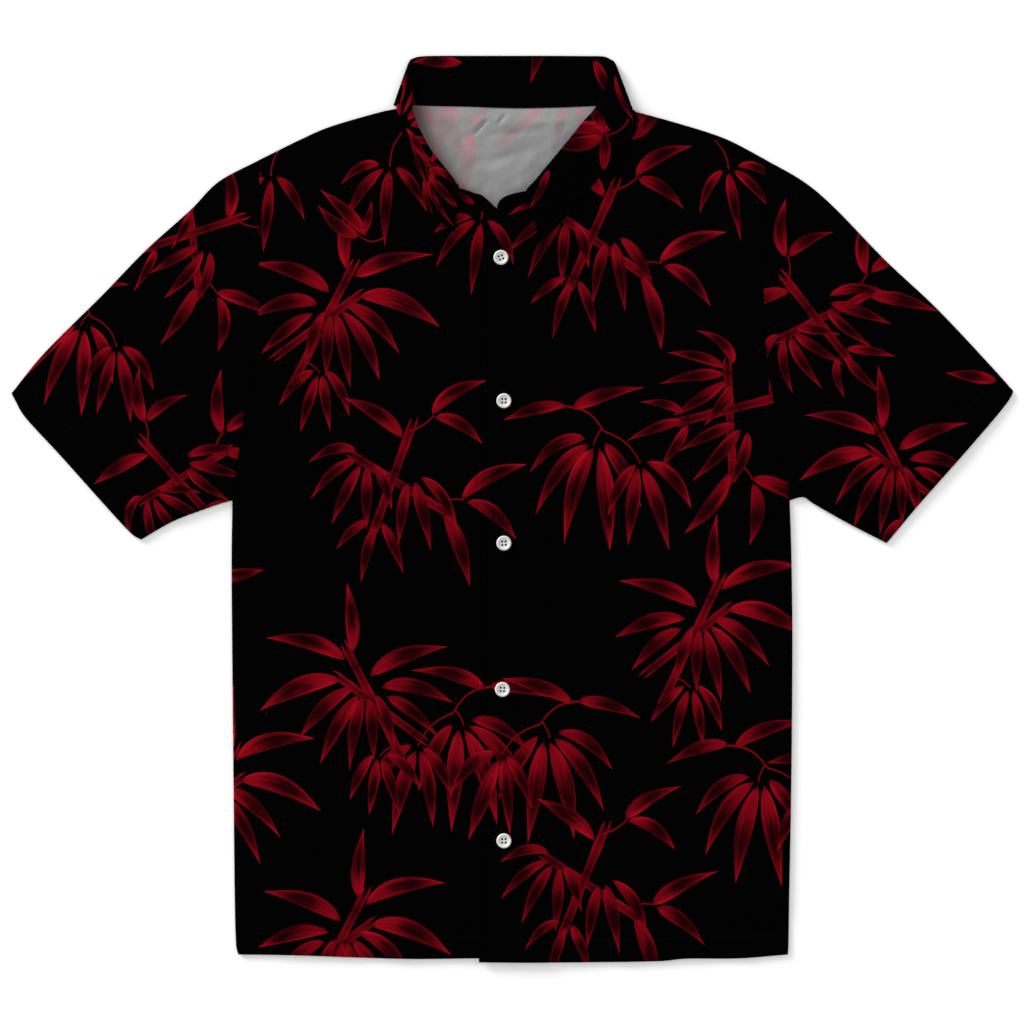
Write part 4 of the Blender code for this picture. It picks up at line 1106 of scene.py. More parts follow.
def inside_cloth():
    """The same cotton's inside: undyed grey, with the print showing faintly through it. Shade from the
    collar is
    painted into it: darker towards the neckband on the wearer's right, most of all in the corner there."""
    finish = Finish("printed cotton, inside")
    light, printed = leaf_light(finish)
    speckle, cloud = finish.noise(260.0, 3.0, 0.6), finish.noise(22.0)
    grey = finish.ramp(speckle * 0.3 + cloud * 0.7, [(0.3, 0.202, 0.203, 0.205), (0.7, 0.252, 0.253, 0.255)])
    ghost = finish.ramp(light, [(0.05, 0.205, 0.19, 0.193), (0.3, 0.262, 0.182, 0.191),
                                (0.55, 0.335, 0.17, 0.186), (1.0, 0.41, 0.2, 0.215)])
    x, y = (place / MM - corner for place, corner in zip(finish.split(finish.place()), NECK_CORNER))
    # painted shade, standing in for the collar's shadow: along the neckband's edge, and deepest in its
    # corner
    painted_band_shade = finish.hill(x * FROM_BAND[0] + y * FROM_BAND[1], 0.0, BAND_SHADE_REACH) * 0.26
    painted_corner_shade = finish.hill(x, 0.0, CORNER_SHADE_REACH) * finish.hill(y, 0.0, CORNER_SHADE_REACH) * 0.42
    dye = finish.blend(printed * 0.78, grey, ghost)
    # the painted shade blends the cloth's colour towards near black
    return finish.surface(Base_Color=finish.blend(painted_band_shade + painted_corner_shade, dye, (0.012, 0.01, 0.011, 1.0)),
                          Roughness=0.9, Specular_IOR_Level=0.1, Sheen_Weight=0.03, Sheen_Roughness=0.5,
                          Normal=cloth_bump(finish, 0.022, 0.9))


def black_thread():
    finish = Finish("black sewing thread")
    fibres = finish.noise(2200.0, 1.0)
    shade = finish.ramp(fibres, [(0.3, 0.0012, 0.001, 0.0012), (0.7, 0.004, 0.0035, 0.004)])
    return finish.surface(Base_Color=shade, Roughness=0.7, Specular_IOR_Level=0.05)


def button_resin():
    """Off-white resin, turned and polished, with a faint cloud in it."""
    finish = Finish("off-white button resin")
    shade = finish.ramp(finish.noise(160.0, 3.0, 0.6), [(0.3, 0.50, 0.497, 0.49), (0.7, 0.56, 0.555, 0.545)])
    polish = finish.noise(900.0)
    return finish.surface(Base_Color=shade, Roughness=0.24 + polish * 0.12, Specular_IOR_Level=0.5,
                          Coat_Weight=0.25, Coat_Roughness=0.12, Normal=finish.bump(polish, 0.02))


def pale_table():
    finish = Finish("pale table")
    shade = finish.ramp(finish.noise(3.0, 3.0), [(0.3, 0.86, 0.86, 0.86), (0.7, 0.88, 0.88, 0.88)])
    return finish.surface(Base_Color=shade, Roughness=0.7, Specular_IOR_Level=0.2)


# ---------------------------------------------------------------- body panels and sleeves

def neckline(turns, corner):
    """A front's neckline: its corner, then along the neckband's seam. It runs on under the band."""
    points = list(corner)
    for turn in turns:
        seam = np.array([turn.seam_x, turn.seam_y])
        points.append(seam + unit(np.array([turn.fold_x, turn.fold_y]) - seam) * TUCK)
    return points


def joined_lines(*lines):
    """Lines one after another, without the points that they share."""
    whole = [lines[0]]
    for line in lines[1:]:
        whole.append(line[1:] if np.linalg.norm(line[0] - whole[-1][-1]) < 0.01 else line)
    whole = np.concatenate(whole)
    if np.linalg.norm(whole[0] - whole[-1]) < 0.01:
        whole = whole[:-1]
    return whole


def hem_guides(line, width, side):
    """Mesh lines on both sides of a hem's inner edge, so that its step stays crisp."""
    line = line if side == "right" else line[::-1]
    return [moved(line, -width - step)[1:-1] for step in (-3.0, -2.0, -1.0, 0.6, 1.8)]


def front_parts(side):
    """A front's outline and its borders, in plan."""
    if side == "right":
        turns, corner, free_x, hem = BAND_RIGHT + LEAF_RIGHT, CORNER_RIGHT, FRONT_EDGE_RIGHT, HEM_RIGHT
    else:
        turns, corner, free_x, hem = (LEAF_LEFT + BAND_LEFT)[::-1], CORNER_LEFT, FRONT_EDGE_LEFT, HEM_LEFT
    fold_side, armhole, shoulder = (side_line(rows, side) for rows in (SIDE, ARMHOLE, SHOULDER))
    hem = smooth_line(hem)
    if side == "right":
        hem = hem[::-1]
    free = smooth_line([hem[0], (free_x, corner[0].y)], 6.0)
    neck = smooth_line(neckline(turns, corner) + [shoulder[0]])
    outline = joined_lines(free, neck, shoulder, armhole[::-1], fold_side[::-1], hem[::-1])
    return outline, [Border("edge", free), Border("tucked", neck[6:]), Border("hem", hem),
                     Border("seam", armhole), Border("fold", shoulder), Border("fold", fold_side)]


def back_parts():
    right_side, right_hole, right = (side_line(rows, "right") for rows in (SIDE, ARMHOLE, SHOULDER))
    left_side, left_hole, left = (side_line(rows, "left") for rows in (SIDE, ARMHOLE, SHOULDER))
    neck = smooth_line([right[0]] + [(turn.seam_x, turn.seam_y + TUCK) for turn in COLLAR_BACK] + [left[0]])
    hem = smooth_line(HEM_BACK)
    outline = joined_lines(hem, left_side, left_hole, left[::-1], neck[::-1], right, right_hole[::-1],
                           right_side[::-1])
    return outline, [Border("hem", hem), Border("seam", right_hole), Border("seam", left_hole),
                     Border("band", neck), Border("fold", right_side), Border("fold", left_side),
                     Border("fold", right), Border("fold", left)]


def sleeve_parts(side):
    armhole, upper, under, cuff = (side_line(rows, side)
                                   for rows in (ARMHOLE, SLEEVE_TOP, SLEEVE_UNDER, CUFF))
    tucked = armhole + (TUCK if side == "right" else -TUCK, 0.0)
    tucked[-1] += (0.0, -1.2)
    tucked[0] += (0.0, 0.6)
    upper = np.concatenate([tucked[-1:], upper])
    under = np.concatenate([tucked[:1], under])
    outline = joined_lines(tucked, upper, cuff, under[::-1])
    return outline, [Border("tucked", tucked), Border("cuff", cuff),
                     Border("fold", upper), Border("fold", under)]


def lifted(points, top, borders):
    """Outer face of an upper panel."""
    return upper_borders(points, top(points) + cloth_detail(points), borders)


# The inside of the neck starts at these places and is in full after the ramps that follow them.
NECK_LOW, LOW_RAMP = 265.0, 25.0
NECK_RIGHT, RIGHT_RAMP = -98.0, 50.0
NECK_LEFT, LEFT_RAMP = 100.0, 30.0
SEAM_RAMP = 11.0
AT_SEAM = 0.2            # the back stands this much clear of the table at the seam
CRUMPLED = 1.1           # and this much more below it, its creases left out


def inside_neck(points):
    """What the crumpled inside of the neck adds, where the back stands clear of the table."""
    x, y = points[:, 0], points[:, 1]
    share = (smooth_step((y - NECK_LOW) / LOW_RAMP) * smooth_step((x - NECK_RIGHT) / RIGHT_RAMP)
             * smooth_step((NECK_LEFT - x) / LEFT_RAMP))
    crumpled = CRUMPLED + crease_height(points, NECK_CREASES, 2.0) + 0.9 * ripples(points, 37, 46.0, 9.0)
    return share * (AT_SEAM + smooth_step((NECK_SEAM_Y - y) / SEAM_RAMP) * crumpled)


def grounded(points, borders):
    """Outer face of a lower panel, which the shirt lies on."""
    share = fold_share(points)
    lift = BACK_CLEAR + share * crease_height(points, BACK_CREASES, 4.0) + 0.5 * share * ripples(points, 23)
    height = back_under(points) + np.maximum(lift + inside_neck(points), 0.0)
    return np.maximum(lower_borders(points, height, borders), LOWEST)


def wall_of(points, borders):
    """The wall's thickness: one layer of cloth, or the two and three layers of edges and hems."""
    share = np.full(len(points), SINGLE)
    for border in borders:
        distance = near(points, border.line)[0]
        if border.kind in HEMS:
            share = np.maximum(share, SINGLE + (1.0 - SINGLE) * on_hem(distance, HEMS[border.kind][0]))
        elif border.kind == "edge":
            share = np.maximum(share, SINGLE + (DOUBLE - SINGLE) * on_hem(distance, FACING, 3.0))
    return THICK * share


def make_panel(node, parts, spots, guides, height, out, cell, *finer):
    """One sheet of the body: cut in plan, printed, and lifted to its height."""
    outline, borders = parts
    motifs = motifs_of(spots, outline)
    plan, triangles, (uppermost,) = triangulate(outline, guides, [motifs], cell, *finer)
    corners = np.column_stack([plan, height(plan, borders)])
    return cloth_piece(node, corners, triangles, facing(corners, triangles, (0, 0, out)),
                       print_values(plan, triangles, uppermost, motifs), wall_of(plan, borders), INSIDE)


def make_front(side, top):
    parts = front_parts(side)
    return make_panel("front_" + side, parts, FRONT_PRINT, hem_guides(parts[1][2].line, HEM_WIDTH, side),
                      lambda plan, borders: lifted(plan, top, borders), 1, CELL)


def make_back():
    parts = back_parts()
    return make_panel("back", parts, BACK_PRINT, hem_guides(parts[1][0].line, HEM_WIDTH, "left"),
                      grounded, -1, BACK_CELL, NECK_PART, NECK_CELL)


def make_sleeve(side):
    """A tube pressed flat: an upper and a lower sheet of the same cut, joined at their two folds."""
    outline, borders = sleeve_parts(side)
    prints = [motifs_of(spots, outline) for spots in (SLEEVE_PRINT, UNDER_SLEEVE_PRINT)]
    guides = hem_guides(borders[1].line, CUFF_WIDTH, side)
    plan, triangles, uppermost = triangulate(outline, guides, prints, CELL)
    upper, lower = lifted(plan, right_top, borders), grounded(plan, borders)
    at_fold = np.minimum(near(plan, borders[2].line)[0], near(plan, borders[3].line)[0]) < AT_FOLD
    upper[at_fold] = lower[at_fold] = CLOSING + back_under(plan[at_fold])
    corners = np.concatenate([np.column_stack([plan, upper]), np.column_stack([plan, lower])])
    below = np.arange(len(plan)) + np.where(at_fold, 0, len(plan))
    sheets = [triangles, below[triangles]]
    order = np.concatenate([facing(corners, sheet, (0, 0, out)) for sheet, out in zip(sheets, (1, -1))])
    marks = [print_values(plan, triangles, *printed) for printed in zip(uppermost, prints)]
    marks = [np.concatenate(pair) for pair in zip(*marks)]
    wall = np.tile(wall_of(plan, borders), 2)
    used, joined = np.unique(np.concatenate(sheets), return_inverse=True)
    return cloth_piece("sleeve_" + side, corners[used], joined.reshape(-1, 3), order, marks, wall[used],
                       INSIDE)


# ---------------------------------------------------------------- the collar

FOLD_RADIUS = 0.5 * (2 * CLOTH + GAP)
SIDE_RADIUS = 0.5 * (4 * CLOTH + 3 * GAP)
SIDE_ANGLES = (0, 45, 90, 135, 180)
LEAF_CROWN = 0.7
CORNER_RISE = 3.3        # at the collar's upper corners the fold rises this far on its way under the back
SMALL_FOLD_SEAM = 0.3    # the neckband comes this near to the fold's inner edge
BAND_CORNER = 3.5        # radius of the neckband's upper corners
BAND_BOW = 0.25
UP = np.array([0.0, 0.0, 1.0])


def height_at(top, x, y):
    return float(top(np.array([[x, y]]))[0])


def station(fold, along, out, seam, edge):
    """One place of the collar: its fold, the ways along and out of it, the neck seam and the free edge."""
    return np.concatenate([fold, along, out, seam, edge])


def ends_of(turn, fold_z, seam_z, edge_z):
    return (np.array([turn.fold_x, turn.fold_y, fold_z]), np.array([turn.seam_x, turn.seam_y, seam_z]),
            np.array([turn.edge_x, turn.edge_y, edge_z]))


def front_station(turn, top):
    """Where the collar lies on the front."""
    seam_z = height_at(top, turn.seam_x, turn.seam_y)
    edge_z = height_at(top, turn.edge_x, turn.edge_y) + LAYER + LEAF_LIFT
    fold, seam, edge = ends_of(turn, seam_z + turn.rise, seam_z, edge_z)
    along = unit(edge - fold)
    return station(fold, along, unit(UP - along[2] * along), seam, edge)


def back_station(turn):
    """Where the turned-down part lies folded under the neckband."""
    fold, seam, edge = ends_of(turn, 0.0, LAYER, 0.0)
    return station(fold, unit(edge - fold), -UP, seam, edge)


def side_stations(turn):
    """At the neck's side, where the flattened collar turns from over the front to under the back."""
    fold, seam, edge = ends_of(turn, 0.0, 0.0, 0.0)
    along = unit(edge - fold)
    outward = np.array([-along[1], along[0], 0.0])
    if outward[0] * turn.fold_x < 0:
        outward = -outward
    centre = SIDE_RADIUS * (UP - outward)
    made = []
    for degrees in SIDE_ANGLES:
        angle = math.radians(degrees)
        out = outward * math.sin(angle) + UP * math.cos(angle)
        round_corner = CORNER_RISE * max(-math.cos(angle), 0.0) * along
        made.append(station(fold - round_corner + centre + SIDE_RADIUS * out, along, out,
                            seam + centre + FOLD_RADIUS * out, edge + centre + SIDE_RADIUS * out))
    return made


def collar_stations():
    stations = [front_station(turn, right_top) for turn in LEAF_RIGHT]
    stations += side_stations(SIDE_RIGHT)
    stations += [back_station(turn) for turn in COLLAR_BACK]
    stations += side_stations(SIDE_LEFT)[::-1]
    stations += [front_station(turn, left_top) for turn in LEAF_LEFT]
    return smooth_line(np.array(stations), COLLAR_STEP)


def at_length(rows, lengths, s):
    """The rows' values at lengths s."""
    return np.stack([np.interp(s, lengths, column) for column in rows.T], axis=1)


class Fall:
    """The turned-down part as a flat pattern: s along its fold, t from its inner edge to its free edge."""

    def __init__(self, stations):
        self.stations = stations
        self.lengths = walked(stations[:, 0:3])
        self.turn = math.pi * FOLD_RADIUS
        start = stations[:, 0:3] + FOLD_RADIUS * unit(stations[:, 3:6])
        self.widths = self.turn + np.linalg.norm(stations[:, 12:15] - start, axis=1)

    def outline(self):
        ends = [np.column_stack([np.full(9, s), np.linspace(0.0, width, 9)])
                for s, width in ((0.0, self.widths[0]), (self.lengths[-1], self.widths[-1]))]
        inner = np.column_stack([self.lengths, np.zeros(len(self.lengths))])
        free = np.column_stack([self.lengths, self.widths])
        return joined_lines(inner, ends[1], free[::-1], ends[0][::-1])

    def place(self, flat):
        """Points of the outer face, and the directions out of it."""
        s, t = flat[:, 0], flat[:, 1]
        row = at_length(self.stations, self.lengths, s)
        fold, along, out = row[:, 0:3], unit(row[:, 3:6]), unit(row[:, 6:9])
        angle = math.pi * (1.0 - np.clip(t / self.turn, 0.0, 1.0))
        across = FOLD_RADIUS * (1.0 - np.sin(angle))
        depth = FOLD_RADIUS * (1.0 - np.cos(angle))
        on_fold = fold + across[:, None] * along - depth[:, None] * out
        start = fold + FOLD_RADIUS * along
        width = np.interp(s, self.lengths, self.widths) - self.turn
        share = np.clip((t - self.turn) / width, 0.0, 1.0)[:, None]
        crown = LEAF_CROWN * np.sin(math.pi * share) * np.maximum(out[:, 2:3], 0.0)
        on_leaf = start + share * (row[:, 12:15] - start) + crown * out
        lies = (t > self.turn)[:, None]
        round_fold = -np.sin(angle)[:, None] * along + np.cos(angle)[:, None] * out
        return np.where(lies, on_leaf, on_fold), np.where(lies, out, round_fold)


class Stand:
    """The neckband as a flat pattern: s along its upper edge, t from there to the neck seam."""

    def __init__(self, stations):
        ends = []
        for turns, top in ((BAND_RIGHT, right_top), (BAND_LEFT, left_top)):
            rows = []
            for turn in turns:
                seam_z = height_at(top, turn.seam_x, turn.seam_y)
                rows.append((turn.fold_x, turn.fold_y, seam_z + turn.rise, turn.seam_x, turn.seam_y, seam_z,
                             0.0, 0.0, 1.0))
            ends.append(smooth_line(np.array(rows), 3.0))
        along, out = unit(stations[:, 3:6]), unit(stations[:, 6:9])
        start = stations[:, 0:3] + (FOLD_RADIUS + SMALL_FOLD_SEAM) * along - (LAYER + 0.5 * GAP) * out
        middle = np.column_stack([start, stations[:, 9:12], out])
        self.rows = np.concatenate([ends[0], middle, ends[1]])
        centre = 0.5 * (self.rows[:, 0:3] + self.rows[:, 3:6])
        self.lengths = walked(centre)
        self.widths = np.linalg.norm(self.rows[:, 3:6] - self.rows[:, 0:3], axis=1)

    def outline(self):
        last = self.lengths[-1]
        turn = np.linspace(0.0, 0.5 * math.pi, 6)
        round_start = np.column_stack([BAND_CORNER * (1 - np.cos(turn)), BAND_CORNER * (1 - np.sin(turn))])
        round_end = np.column_stack([last - round_start[::-1, 0], round_start[::-1, 1]])
        inside = (self.lengths > BAND_CORNER + 0.5) & (self.lengths < last - BAND_CORNER - 0.5)
        upper = np.column_stack([self.lengths[inside], np.zeros(inside.sum())])
        seam = np.column_stack([self.lengths, self.widths])
        return joined_lines(round_start, upper, round_end, seam[::-1])

    def place(self, flat):
        row = at_length(self.rows, self.lengths, flat[:, 0])
        width = np.interp(flat[:, 0], self.lengths, self.widths)
        share = np.clip(flat[:, 1] / width, 0.0, 1.0)[:, None]
        out = unit(row[:, 6:9])
        bow = BAND_BOW * np.sin(math.pi * share)
        return row[:, 0:3] + share * (row[:, 3:6] - row[:, 0:3]) + bow * out, out


# In the collar's flat patterns, along and across. The right leaf comes first, then the back, then the
# left leaf.
FALL_PRINT = [
    Spot(SPRAY, 72, 22, -104, 0.72, True), Spot(FAN, 34, 14, -60, 0.6), Spot(TWIG, 372, 30, 176, 0.9, True),
    Spot(EDGE_LEAF, 318, 12, 24, 0.95), Spot(EDGE_LEAF, 424, 7, 12, 0.7),
    Spot(EDGE_LEAF, 398, 44, -150, 0.8), Spot(FAN, 176, 30, 90, 0.55), Spot(FAN, 262, 28, -90, 0.55, True),
]
STAND_PRINT = [
    Spot(EDGE_LEAF, 206, 5, 172), Spot(EDGE_LEAF, 277, -20, 92, 0.95), Spot(EDGE_LEAF, 322, 2, 52, 0.9),
    Spot(TWIG, 168, 40, 20, 0.6), Spot(EDGE_LEAF, 30, 9, -20, 0.5),
]


def make_collar_part(node, pattern, spots, stitch_line, stitch_in):
    """The neckband or the turned-down part, cut in its flat pattern and then put in its place."""
    outline = pattern.outline()
    motifs = motifs_of(spots, outline)
    flat, triangles, (uppermost,) = triangulate(outline, [], [motifs], COLLAR_CELL)
    points, out = pattern.place(flat)
    distance, along, _ = near(flat, stitch_line)
    dent = (STITCH_DENT * bell(distance - stitch_in, 1.0) + EDGE_DROP * (1.0 - rounded(distance, EDGE_ROUND))
            - 0.6 * PUCKER * wobble(along, 7.5, 27.0) * bell(distance - stitch_in, 5.0))
    points = points - dent[:, None] * out
    points[:, 2] = np.maximum(points[:, 2], LOWEST)
    return cloth_piece(node, points, triangles, facing(points, triangles, out[triangles[:, 0]]),
                       print_values(flat, triangles, uppermost, motifs), np.full(len(points), COLLAR_THICK),
                       OUTSIDE)


# ---------------------------------------------------------------- buttons and thread

# Half of a button's section is its dish, a round rim about (RIM_OUT, RIM_UP), and its foot. All are
# (radius, height).
DISH = [(0.0, 1.75), (2.2, 1.75), (3.5, 1.8), (4.1, 1.9)]
FOOT = [(5.3, 0.15), (4.4, 0.0), (0.0, 0.0)]
RIM_OUT, RIM_UP, RIM_RADIUS = 5.35, 1.45, 1.15
RIM_ANGLES = (-0.9, 2.2)
BUTTON_STEPS = 56        # corners round a button
SHARP = 35               # degrees; a button's edges that are sharper than this stay crisp
HOLE_REACH = 0.5 * HOLE_PITCH * math.sqrt(2.0)
HOLE_ANGLES = (45, 135, 225, 315)
THREAD_SIDES = 8
# the thread in a hole: its radius and its height over the button's foot
THREAD_RINGS = [(0.7, -1.2), (THREAD_FILL, 0.2), (THREAD_FILL, 1.3), (0.6, 1.5)]
STITCH = {"Pitch": 2.6, "Along": 2.0, "Across": 0.36, "High": 0.3}
STITCH_LINE_STEP = 2.0
BUTTONHOLE_HALF_WIDTH = 1.0
BUTTONHOLE_HALF_LENGTH = 8.2


def button_outline():
    """Half of a button's section, from the middle of its dish to the middle of its foot."""
    rim = [(RIM_OUT + RIM_RADIUS * math.sin(angle), RIM_UP + RIM_RADIUS * math.cos(angle))
           for angle in np.linspace(*RIM_ANGLES, 12)]
    return DISH + rim + FOOT


def button_shape():
    """A turned disc with a dish, a rounded rim and four thread holes, round the origin."""
    section = [(radius, 0.0, z) for radius, z in button_outline()]
    edges = [(i, i + 1) for i in range(len(section) - 1)]
    blank = in_scene("button blank", new_mesh("button section", section, edges, []))
    turned = blank.modifiers.new("Turned", "SCREW")
    turned.steps = turned.render_steps = BUTTON_STEPS
    turned.use_merge_vertices = True
    turned.merge_threshold = 0.00001
    drills = []
    for angle in np.radians(HOLE_ANGLES):
        place = (HOLE_REACH * MM * math.cos(angle), HOLE_REACH * MM * math.sin(angle), 0)
        bpy.ops.mesh.primitive_cylinder_add(vertices=16, radius=0.5 * HOLE_WIDTH * MM, depth=8 * MM,
                                            location=place)
        drills.append(bpy.context.active_object)
        hole = blank.modifiers.new("Thread hole", "BOOLEAN")
        hole.operation = "DIFFERENCE"
        hole.object = drills[-1]
    shape = worked_out(blank)
    for drill in drills:
        bpy.data.objects.remove(drill, do_unlink=True)
    return shape


def make_buttons(finish):
    shape = button_shape()
    for row in BUTTONS:
        mesh = shape.copy()
        mesh.name = row.name + "_turned"
        place = Vector((row.x, row.y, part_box(row.name)[0].z / MM)) * MM
        mesh.transform(Matrix.Translation(place) @ Matrix.Rotation(math.radians(row.turn), 4, "Z"))
        mesh.materials.clear()
        mesh.materials.append(finish)
        mesh.shade_smooth()
        mesh.set_sharp_from_angle(angle=math.radians(SHARP))
        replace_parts(shirt_piece(mesh.name, mesh), row.name)


def make_button_threads(finish):
    """The thread that fills each button's holes and goes down to the cloth."""
    rings, sides = range(len(THREAD_RINGS)), range(THREAD_SIDES)
    around = [2.0 * math.pi * side / THREAD_SIDES for side in sides]
    for row in BUTTONS:
        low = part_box(row.name)[0].z / MM
        corners, faces = [], []
        for hole in HOLE_ANGLES:
            angle = math.radians(hole + row.turn)
            x, y = row.x + HOLE_REACH * math.cos(angle), row.y + HOLE_REACH * math.sin(angle)
            first = [len(corners) + THREAD_SIDES * ring for ring in rings]
            corners += [(x + radius * math.cos(turn), y + radius * math.sin(turn), low + z)
                        for radius, z in THREAD_RINGS for turn in around]
            for below, above in zip(first, first[1:]):
                for side in sides:
                    beside = (side + 1) % THREAD_SIDES
                    faces.append((below + side, below + beside, above + beside, above + side))
            faces.append(tuple(first[-1] + side for side in sides))
            faces.append(tuple(first[0] + side for side in reversed(sides)))
        mesh = new_mesh(row.name + "_thread", corners, [], faces)
        mesh.materials.append(finish)
        mesh.shade_smooth()
        shirt_piece(mesh.name, mesh)


def stitch_tree(finish):
    """Geometry nodes: one stitch of thread at every pitch along each line."""
    tree = bpy.data.node_groups.new("stitches along a line", "GeometryNodeTree")
    face = tree.interface
    face.new_socket("Lines", in_out="INPUT", socket_type="NodeSocketGeometry")
    sizes = {}
    for name, value in STITCH.items():
        socket = face.new_socket(name, in_out="INPUT", socket_type="NodeSocketFloat")
        socket.default_value = value * MM
        sizes[name] = socket.identifier
    face.new_socket("Stitches", in_out="OUTPUT", socket_type="NodeSocketGeometry")

    def add(kind, **settings):
        node = tree.nodes.new(kind)
        for name, value in settings.items():
            setattr(node, name, value)
        return node

    given, result = add("NodeGroupInput"), add("NodeGroupOutput")
    curve = add("GeometryNodeMeshToCurve")
    spaced = add("GeometryNodeResampleCurve", mode="LENGTH")
    tangent = add("GeometryNodeInputTangent")
    pointed = add("FunctionNodeAlignRotationToVector", axis="X")
    level = add("FunctionNodeAlignRotationToVector", axis="Z", pivot_axis="X")
    level.inputs["Vector"].default_value = (0.0, 0.0, 1.0)
    ball = add("GeometryNodeMeshUVSphere")
    ball.inputs["Segments"].default_value = 6
    ball.inputs["Rings"].default_value = 4
    ball.inputs["Radius"].default_value = 0.5
    laid = add("GeometryNodeTransform")
    laid.inputs["Rotation"].default_value = (0.0, math.radians(90.0), 0.0)
    size = add("ShaderNodeCombineXYZ")
    put = add("GeometryNodeInstanceOnPoints")
    real = add("GeometryNodeRealizeInstances")
    smooth = add("GeometryNodeSetShadeSmooth")
    coloured = add("GeometryNodeSetMaterial")
    coloured.inputs["Material"].default_value = finish
    for start, end in (
            (given.outputs["Lines"], curve.inputs["Mesh"]), (curve.outputs["Curve"], spaced.inputs["Curve"]),
            (given.outputs["Pitch"], spaced.inputs["Length"]),
            (spaced.outputs["Curve"], put.inputs["Points"]),
            (tangent.outputs["Tangent"], pointed.inputs["Vector"]),
            (pointed.outputs["Rotation"], level.inputs["Rotation"]),
            (level.outputs["Rotation"], put.inputs["Rotation"]),
            (ball.outputs["Mesh"], laid.inputs["Geometry"]),
            (laid.outputs["Geometry"], put.inputs["Instance"]),
            (given.outputs["Along"], size.inputs["X"]), (given.outputs["Across"], size.inputs["Y"]),
            (given.outputs["High"], size.inputs["Z"]), (size.outputs["Vector"], put.inputs["Scale"]),
            (put.outputs["Instances"], real.inputs["Geometry"]),
            (real.outputs["Geometry"], smooth.inputs["Geometry"]),
            (smooth.outputs["Geometry"], coloured.inputs["Geometry"]),
            (coloured.outputs["Geometry"], result.inputs["Stitches"])):
        tree.links.new(start, end)
    return tree, sizes


def sew(name, lines, stitches, finish, **sizes):
    """Stitches along lines of points in millimetres, as one plain mesh."""
    tree, sockets = stitches
    edges, start = [], 0
    for line in lines:
        edges += [(start + i, start + i + 1) for i in range(len(line) - 1)]
        start += len(line)
    needle = in_scene(name + " lines", new_mesh(name + " lines", np.concatenate(lines), edges, []))
    work = needle.modifiers.new("Stitches", "NODES")
    work.node_group = tree
    for title, value in sizes.items():
        work[sockets[title]] = value * MM
    mesh = worked_out(needle)
    mesh.name = name
    if not mesh.materials:
        mesh.materials.append(finish)
    shirt_piece(name, mesh)


def inside_line(line, distance, outline, trim=0.0):
    """A line moved into its panel, with its ends cut back."""
    middle = outline.mean(axis=0)
    choices = [moved(line, sign * distance) for sign in (1.0, -1.0)]
    chosen = min(choices, key=lambda made: np.linalg.norm(made.mean(axis=0) - middle))
    lengths = walked(chosen)
    steps = np.arange(trim, lengths[-1] - trim, STITCH_LINE_STEP)
    return np.column_stack([np.interp(steps, lengths, chosen[:, i]) for i in (0, 1)])


def sewn_above(line, top, borders):
    return np.column_stack([line, lifted(line, top, borders) + STITCH_CLEAR])


def sewn_below(line, borders):
    return np.column_stack([line, np.maximum(grounded(line, borders) - STITCH_CLEAR, LOWEST_STITCH)])


def sew_body(stitches, thread):
    """The rows of stitches on hems, cuffs and the closing's edge."""
    for side, top in (("right", right_top), ("left", left_top)):
        outline, borders = front_parts(side)
        rows = [inside_line(borders[0].line, EDGE_STITCH, outline, 6.0),
                inside_line(borders[2].line, HEM_WIDTH - HEM_STITCH, outline, 5.0)]
        sew("front_" + side + "_stitches", [sewn_above(row, top, borders) for row in rows], stitches, thread)
        outline, borders = sleeve_parts(side)
        cuff = inside_line(borders[1].line, CUFF_WIDTH - HEM_STITCH, outline, 4.0)
        rows = [sewn_above(cuff, right_top, borders), sewn_below(cuff, borders)]
        sew("sleeve_" + side + "_stitches", rows, stitches, thread)
    outline, borders = back_parts()
    hem = inside_line(borders[0].line, HEM_WIDTH - HEM_STITCH, outline, 5.0)
    sew("back_stitches", [sewn_below(hem, borders)], stitches, thread)


def sew_collar(fall, stand, stitches, thread):
    first, last = STITCH_IN_FALL, fall.lengths[-1] - STITCH_IN_FALL
    s = np.arange(first, last, STITCH_LINE_STEP)
    rows = [np.column_stack([s, np.interp(s, fall.lengths, fall.widths) - STITCH_IN_FALL])]
    for end, width in ((first, fall.widths[0]), (last, fall.widths[-1])):
        t = np.arange(fall.turn + 1.5, width - STITCH_IN_FALL, STITCH_LINE_STEP)
        rows.append(np.column_stack([np.full(len(t), end), t]))
    made = []
    for row in rows:
        points, out = fall.place(row)
        points = points + 0.02 * out
        made.append(np.column_stack([points[:, 0:2], np.maximum(points[:, 2], 0.1)]))
    sew("collar_fall_stitches", made, stitches, thread)
    s = np.arange(3.0, stand.lengths[-1] - 3.0, STITCH_LINE_STEP)
    made = []
    for t in (np.full(len(s), STITCH_IN_STAND), np.interp(s, stand.lengths, stand.widths) - STITCH_IN_STAND):
        points, out = stand.place(np.column_stack([s, t]))
        made += [points + 0.03 * out, points - (COLLAR_THICK + 0.03) * out]
    sew("collar_stand_stitches", made, stitches, thread)


def sew_buttonholes(stitches, thread):
    _, borders = front_parts("left")
    turn = np.linspace(0.0, 2.0 * math.pi, 41)
    rows = []
    for row in BUTTONS:
        x = row.x + BUTTONHOLE_HALF_WIDTH * np.sign(np.cos(turn)) * np.abs(np.cos(turn)) ** 0.5
        y = row.y + BUTTONHOLE_HALF_LENGTH * np.sin(turn)
        rows.append(sewn_above(np.column_stack([x, y]), left_top, borders))
    sew("buttonholes", rows, stitches, thread, Pitch=0.42, Along=0.44, Across=1.1, High=0.3)


# ---------------------------------------------------------------- light and camera

TABLE_HALF = 30000.0     # far enough that no edge shows in a low view
TABLE_Z = -0.2
CAMERA_HEIGHT = 3.0      # this and the view's width are in metres
VIEW_WIDTH = 0.896       # width of the picture at the shirt
SENSOR = 36.0


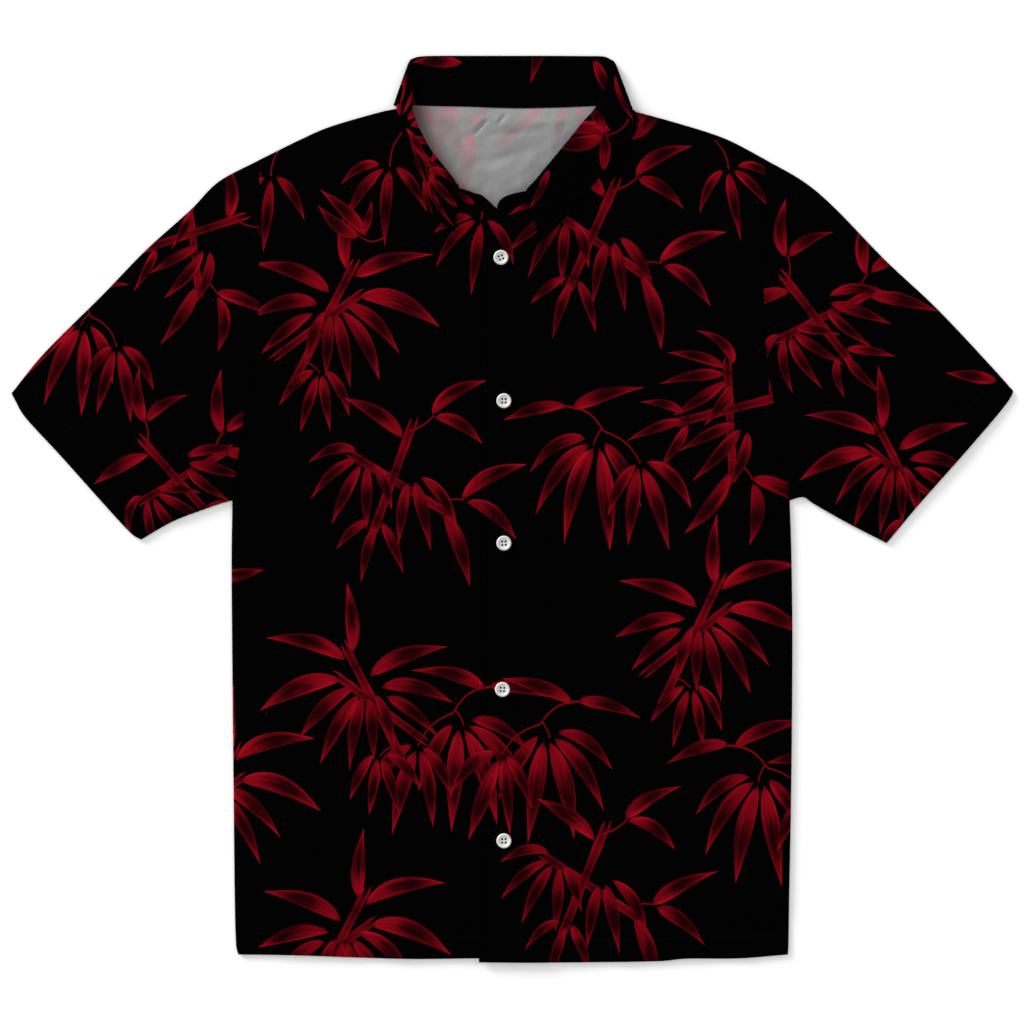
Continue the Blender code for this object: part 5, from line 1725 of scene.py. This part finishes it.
def make_floor():
    corners = [(x * TABLE_HALF, y * TABLE_HALF, TABLE_Z) for x, y in ((-1, -1), (1, -1), (1, 1), (-1, 1))]
    mesh = new_mesh("table top", corners, [], [(0, 1, 2, 3)])
    mesh.materials.append(pale_table())
    in_scene("table_top", mesh)


def low_sun(name, azimuth, elevation, spread, strength):
    """A wide soft light from far away, so that the table is evenly lit. Angles are in degrees."""
    azimuth, elevation = math.radians(azimuth), math.radians(elevation)
    light = bpy.data.lights.new(name, "SUN")
    light.angle = math.radians(spread)
    light.energy = strength
    place = Vector((math.cos(elevation) * math.cos(azimuth), math.cos(elevation) * math.sin(azimuth),
                    math.sin(elevation)))
    lamp = in_scene(name, light)
    lamp.location = 3.0 * place
    lamp.rotation_euler = place.to_track_quat("Z", "Y").to_euler()


def light_and_camera():
    scene = bpy.context.scene
    scene.view_settings.view_transform = "Standard"
    scene.view_settings.look = "None"
    world = bpy.data.worlds.new("white studio")
    world.use_nodes = True
    sky = world.node_tree.nodes["Background"]
    sky.inputs["Color"].default_value = (1.0, 1.0, 1.0, 1.0)
    sky.inputs["Strength"].default_value = 0.88
    scene.world = world
    low_sun("soft light from the upper left", 135.0, 12.5, 21.0, 5.0)
    camera = bpy.data.cameras.new("camera over the shirt")
    camera.sensor_width = SENSOR
    camera.lens = SENSOR * CAMERA_HEIGHT / VIEW_WIDTH
    eye = in_scene("camera", camera)
    eye.location = (-0.00026, -0.0026, CAMERA_HEIGHT)
    scene.camera = eye


# ---------------------------------------------------------------- the finished shirt

OUTSIDE = printed_cloth()
INSIDE = inside_cloth()
THREAD = black_thread()

light_and_camera()
make_floor()

back = make_back()
front_right = make_front("right", right_top)
front_left = make_front("left", left_top)
sleeve_right = make_sleeve("right")
sleeve_left = make_sleeve("left")

STATIONS = collar_stations()
FALL, STAND = Fall(STATIONS), Stand(STATIONS)
FALL_EDGE = np.concatenate([[(0.0, 0.0)], np.column_stack([FALL.lengths, FALL.widths]),
                            [(FALL.lengths[-1], 0.0)]])
STAND_EDGE = np.column_stack([STAND.lengths, STAND.widths])
collar_fall = make_collar_part("collar_fall", FALL, FALL_PRINT, FALL_EDGE, STITCH_IN_FALL)
collar_stand = make_collar_part("collar_stand", STAND, STAND_PRINT, STAND_EDGE, STITCH_IN_STAND)

make_buttons(button_resin())
make_button_threads(THREAD)
STITCHES = stitch_tree(THREAD)
sew_body(STITCHES, THREAD)
sew_collar(FALL, STAND, STITCHES, THREAD)
sew_buttonholes(STITCHES, THREAD)
